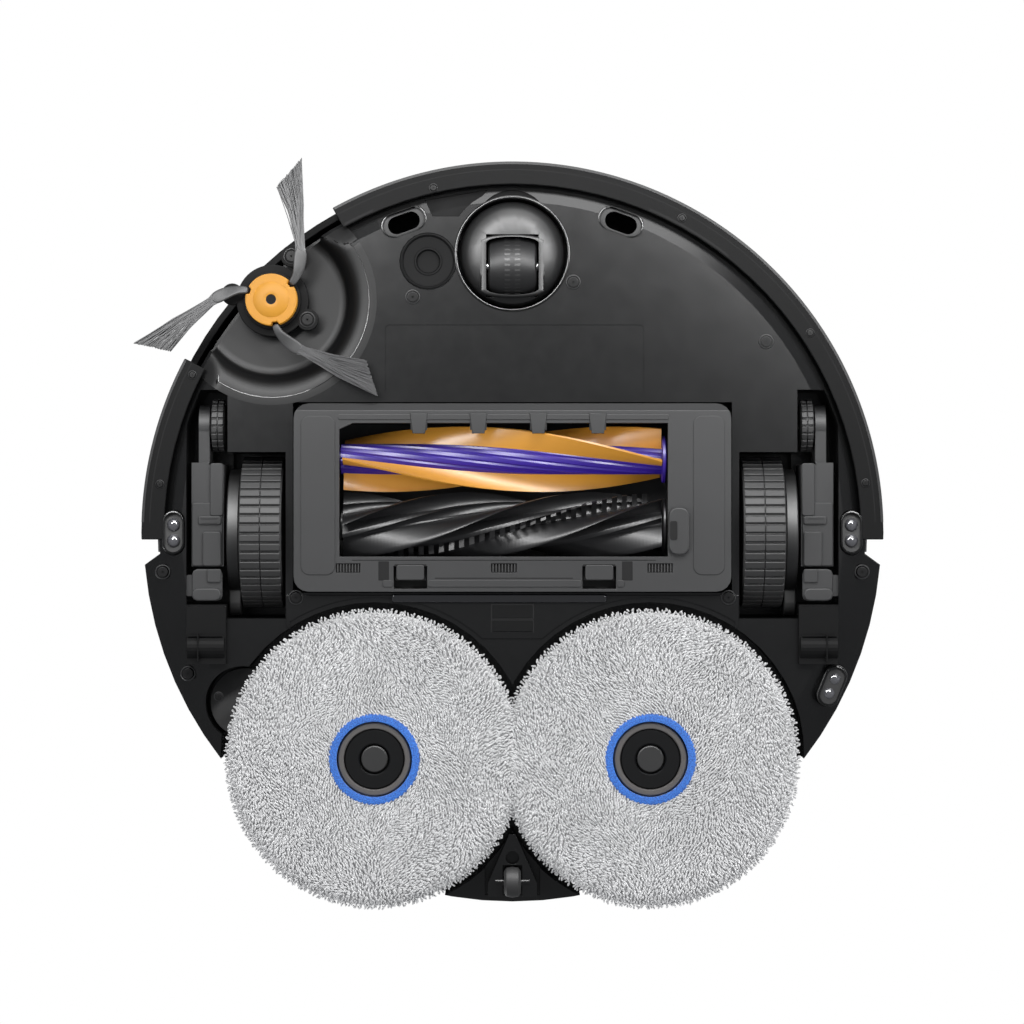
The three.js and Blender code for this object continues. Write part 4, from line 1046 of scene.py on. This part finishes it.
def make_sensors(finish):
    """Drop sensors, slots and round windows around the rim of the base plate."""
    for side, sx in (("left", 1), ("right", -1)):
        make_slot(f"front_slot_{side}", sx * 0.0512, -0.1465, 0.0052, 0.0060, sx * math.radians(20), finish,
                  (0.0036, 0.0042), 0.0009)
        make_slot(f"side_slot_{side}", sx * 0.160, -0.0001, 0.0050, 0.0052, math.pi / 2, finish, None, 0.0009)
        for end, y in (("a", -0.0038), ("b", 0.0037)):
            make_lens(f"side_lens_{side}_{end}", sx * 0.160, y, 0.0030, PLATE_Z + 0.0006, "chassis", finish["lens"])
    make_slot("rear_slot", 0.1509, 0.0723, 0.0048, 0.0050, math.radians(112), finish, None, 0.0009)
    make_lens("rear_lens_a", 0.1521, 0.0690, 0.0029, PLATE_Z + 0.0006, "chassis", finish["lens"])
    make_lens("rear_lens_b", 0.1494, 0.0759, 0.0029, PLATE_Z + 0.0006, "chassis", finish["lens"])
    x, y = -0.0397, -0.1279
    bm = bmesh.new()
    add_turned(bm, [(0.0131, PLATE_Z + 0.0030), (0.0132, PLATE_Z - 0.0002), (0.0126, PLATE_Z - 0.0004),
                    (0.0120, PLATE_Z),
                    (0.0117, PLATE_Z + 0.0008), (0.0066, PLATE_Z + 0.0010), (0.0064, PLATE_Z + 0.0004),
                    (0.0057, PLATE_Z + 0.0004), (0.0054, PLATE_Z + 0.0010), (0.0052, PLATE_Z + 0.0022),
                    (0, PLATE_Z + 0.0024)],
               (x, y, 0), steps=96)
    piece("carpet_sensor_face", bm, "chassis", finish["bumper"], ("carpet_sensor",))


# ---------------------------------------------------------------- mop pads
def tuft_shape():
    """One low rounded loop of unit size: two rings of points between two end points, along Y."""
    points = [(0, -1, 0)]
    for y, r in ((-0.62, 0.78), (0.0, 1.0), (0.62, 0.78)):
        points += [(r * math.cos(a * math.pi / 3), y, r * math.sin(a * math.pi / 3)) for a in range(6)]
    points.append((0, 1, 0))
    faces = [(0, 1 + (k + 1) % 6, 1 + k) for k in range(6)]
    for ring in (1, 7):
        faces += [(ring + k, ring + (k + 1) % 6, ring + 6 + (k + 1) % 6, ring + 6 + k) for k in range(6)]
    faces += [(13 + k, 13 + (k + 1) % 6, 19) for k in range(6)]
    return [Vector(p) for p in points], faces


def pile_lean(x, y, seed):
    """Direction the loops lie in: long soft waves across the cloth."""
    return 1.9 * field.noise(Vector((x * 22, y * 22, seed))) + 0.9 * field.noise(Vector((x * 75, y * 75, seed + 5)))


def make_pad(side, centre, seed, finish):
    """A crowned disc of looped cloth: thousands of small soft loops over a plain base."""
    x, y = centre
    body = f"mop_{side}"
    r, under, over = 0.0704, 0.0016, 0.0086
    rng = random.Random(seed)
    bm = bmesh.new()
    add_turned(bm, [(0.0178, over), (0.0178, under + 0.0014), (0.0220, under + 0.0010), (0.0450, under + 0.0008),
                    (0.0620, under + 0.0009), (0.0672, under + 0.0018), (0.0688, under + 0.0036), (0.0680, over),
                    (0.0178, over)], (x, y, 0), steps=128)
    base = piece(f"mop_base_{side}", bm, body, finish["pad"], (f"mop_pad_{side}",))
    shape, faces = tuft_shape()
    points, polygons = [], []
    count = 10500
    golden = math.pi * (3 - math.sqrt(5))
    inner = 0.0207
    for k in range(count):
        radius = math.sqrt(inner ** 2 + (r ** 2 - inner ** 2) * (k + 0.5) / count)
        angle = k * golden + rng.uniform(-0.012, 0.012)
        radius += rng.uniform(-0.0003, 0.0003)
        px, py = radius * math.cos(angle), radius * math.sin(angle)
        crease = 30 - abs((math.degrees(angle) + 10 * seed) % 60 - 30)
        sink = 0.0005 * math.exp(-(crease / 1.4) ** 2)
        swell = 0.00035 * field.noise(Vector((px * 90, py * 90, seed)))
        rim = max(0.0, (radius - 0.0635) / 0.0069)
        z = under + sink + swell + 0.0046 * rim ** 2.0
        lie = pile_lean(px, py, seed) + rng.uniform(-0.3, 0.3)
        if rim > 0.35:
            lie = angle - math.pi / 2 + rng.uniform(-0.7, 0.7)
        spin = Matrix.Rotation(lie, 3, "Z") @ Matrix.Rotation(rng.uniform(-0.25, 0.25) - 0.5 * rim, 3, "X")
        size = (rng.uniform(0.00040, 0.00052), rng.uniform(0.00082, 0.00118), rng.uniform(0.00050, 0.00075))
        place = Vector((x + px, y + py, z))
        start = len(points)
        points += [place + spin @ Vector((v.x * size[0], v.y * size[1], v.z * size[2])) for v in shape]
        polygons += [[start + i for i in f] for f in faces]
    mesh = bpy.data.meshes.new(f"mop_pile_{side}")
    mesh.from_pydata(points, [], polygons)
    mesh.materials.append(finish["pad"])
    mesh.shade_smooth()
    pile = bpy.data.objects.new(f"mop_pile_{side}", mesh)
    bpy.context.scene.collection.objects.link(pile)
    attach(pile, body)


def make_pad_centre(side, centre, finish):
    """The felt ring, the two rings and the socket in the middle of a pad."""
    x, y = centre
    body = f"mop_{side}"
    under = 0.0016
    bm = bmesh.new()
    teeth = 150
    edge = [0.0213 + 0.00028 * math.sin(2.399 * k) for k in range(teeth)]
    rings = []
    for share, z in ((-1, 0.0050), (-1, under - 0.0006), (-0.7, under - 0.0009), (0.6, under - 0.0009),
                     (1, under - 0.0003), (1, 0.0050)):
        ring = []
        for k in range(teeth):
            a = 2 * math.pi * k / teeth
            r = 0.0177 + (edge[k] - 0.0177) * (share + 1) / 2
            ring.append(bm.verts.new((x + r * math.cos(a), y + r * math.sin(a), z)))
        rings.append(ring)
    rings.append(rings[0])
    for one, two in zip(rings, rings[1:]):
        for k in range(teeth):
            bm.faces.new((one[k], one[(k + 1) % teeth], two[(k + 1) % teeth], two[k]))
    piece(f"mop_felt_{side}", bm, body, finish["felt"], smooth=50)
    bm = bmesh.new()
    add_turned(bm, [(0.0142, 0.0060), (0.0143, under + 0.0009), (0.0147, under + 0.0005), (0.0166, under + 0.0005),
                    (0.0171, under + 0.0010), (0.0172, 0.0060), (0.0142, 0.0060)], (x, y, 0), steps=128)
    piece(f"mop_ring_{side}", bm, body, finish["ring"])
    bm = bmesh.new()
    add_turned(bm, [(0.0070, 0.0078), (0.0070, 0.0031), (0.0076, 0.0024), (0.0134, 0.0024), (0.0140, 0.0030),
                    (0.0140, 0.0078),
                    (0.0070, 0.0078)], (x, y, 0), steps=96)
    piece(f"mop_disc_{side}", bm, body, finish["shell"])
    bm = bmesh.new()
    add_turned(bm, [(0, 0.0046), (0.0022, 0.0044), (0.0030, 0.0052), (0.0034, 0.0068), (0.0052, 0.0072),
                    (0.0069, 0.0066), (0.0070, 0.0078)],
               (x, y, 0), steps=64)
    for k in range(3):
        a = math.radians(90 + 120 * k)
        add_prism(bm, stadium(x + 0.0045 * math.cos(a), y + 0.0045 * math.sin(a), 0.0009, 0.0011, a),
                  0.0048, 0.0072, 0.0005)
    piece(f"mop_key_{side}", bm, body, finish["deck"])


def make_mops(finish):
    for seed, (side, sx) in enumerate((("left", 1), ("right", -1)), 3):
        centre = (sx * 0.0648, 0.1063)
        make_pad(side, centre, seed, finish)
        make_pad_centre(side, centre, finish)


# ---------------------------------------------------------------- the upper side
def make_top_details(finish):
    """Marks on the two keys and a ring on the turret."""
    for name, body in (("power_button", "power_key"), ("home_button", "home_key")):
        low, high, mid = span(name)
        bm = bmesh.new()
        add_turned(bm, [(0.0026, high.z - 0.0002), (0.0027, high.z + 0.00015), (0.0032, high.z + 0.00015),
                        (0.0033, high.z - 0.0002)],
                   (mid.x, mid.y, 0), steps=48)
        piece(name + "_mark", bm, body, finish["lens"])
    low, high, mid = span("lidar_turret")
    bm = bmesh.new()
    r = (high.x - low.x) / 2
    add_turned(bm, [(r - 0.0060, high.z - 0.0003), (r - 0.0058, high.z + 0.0001), (r - 0.0052, high.z + 0.0001),
                    (r - 0.0050, high.z - 0.0003)], (mid.x, mid.y, 0), steps=96)
    piece("turret_ring", bm, "lidar_lifter", finish["ring"])


def main():
    random.seed(11)
    make_camera()
    make_world()
    make_floor()
    make_lights()
    finish = make_finishes()
    for build in (make_shells, make_bumper_lines, make_dish, make_side_brush_plate, make_screws,
                  make_front_roller, make_rear_roller, make_guard, make_wiper, make_caster,
                  make_rear_wheel, make_wheels, make_leg_details, make_side_brush, make_sensors,
                  make_mops, make_top_details):
        build(finish)
    bpy.context.scene.view_settings.view_transform = "Standard"


main()
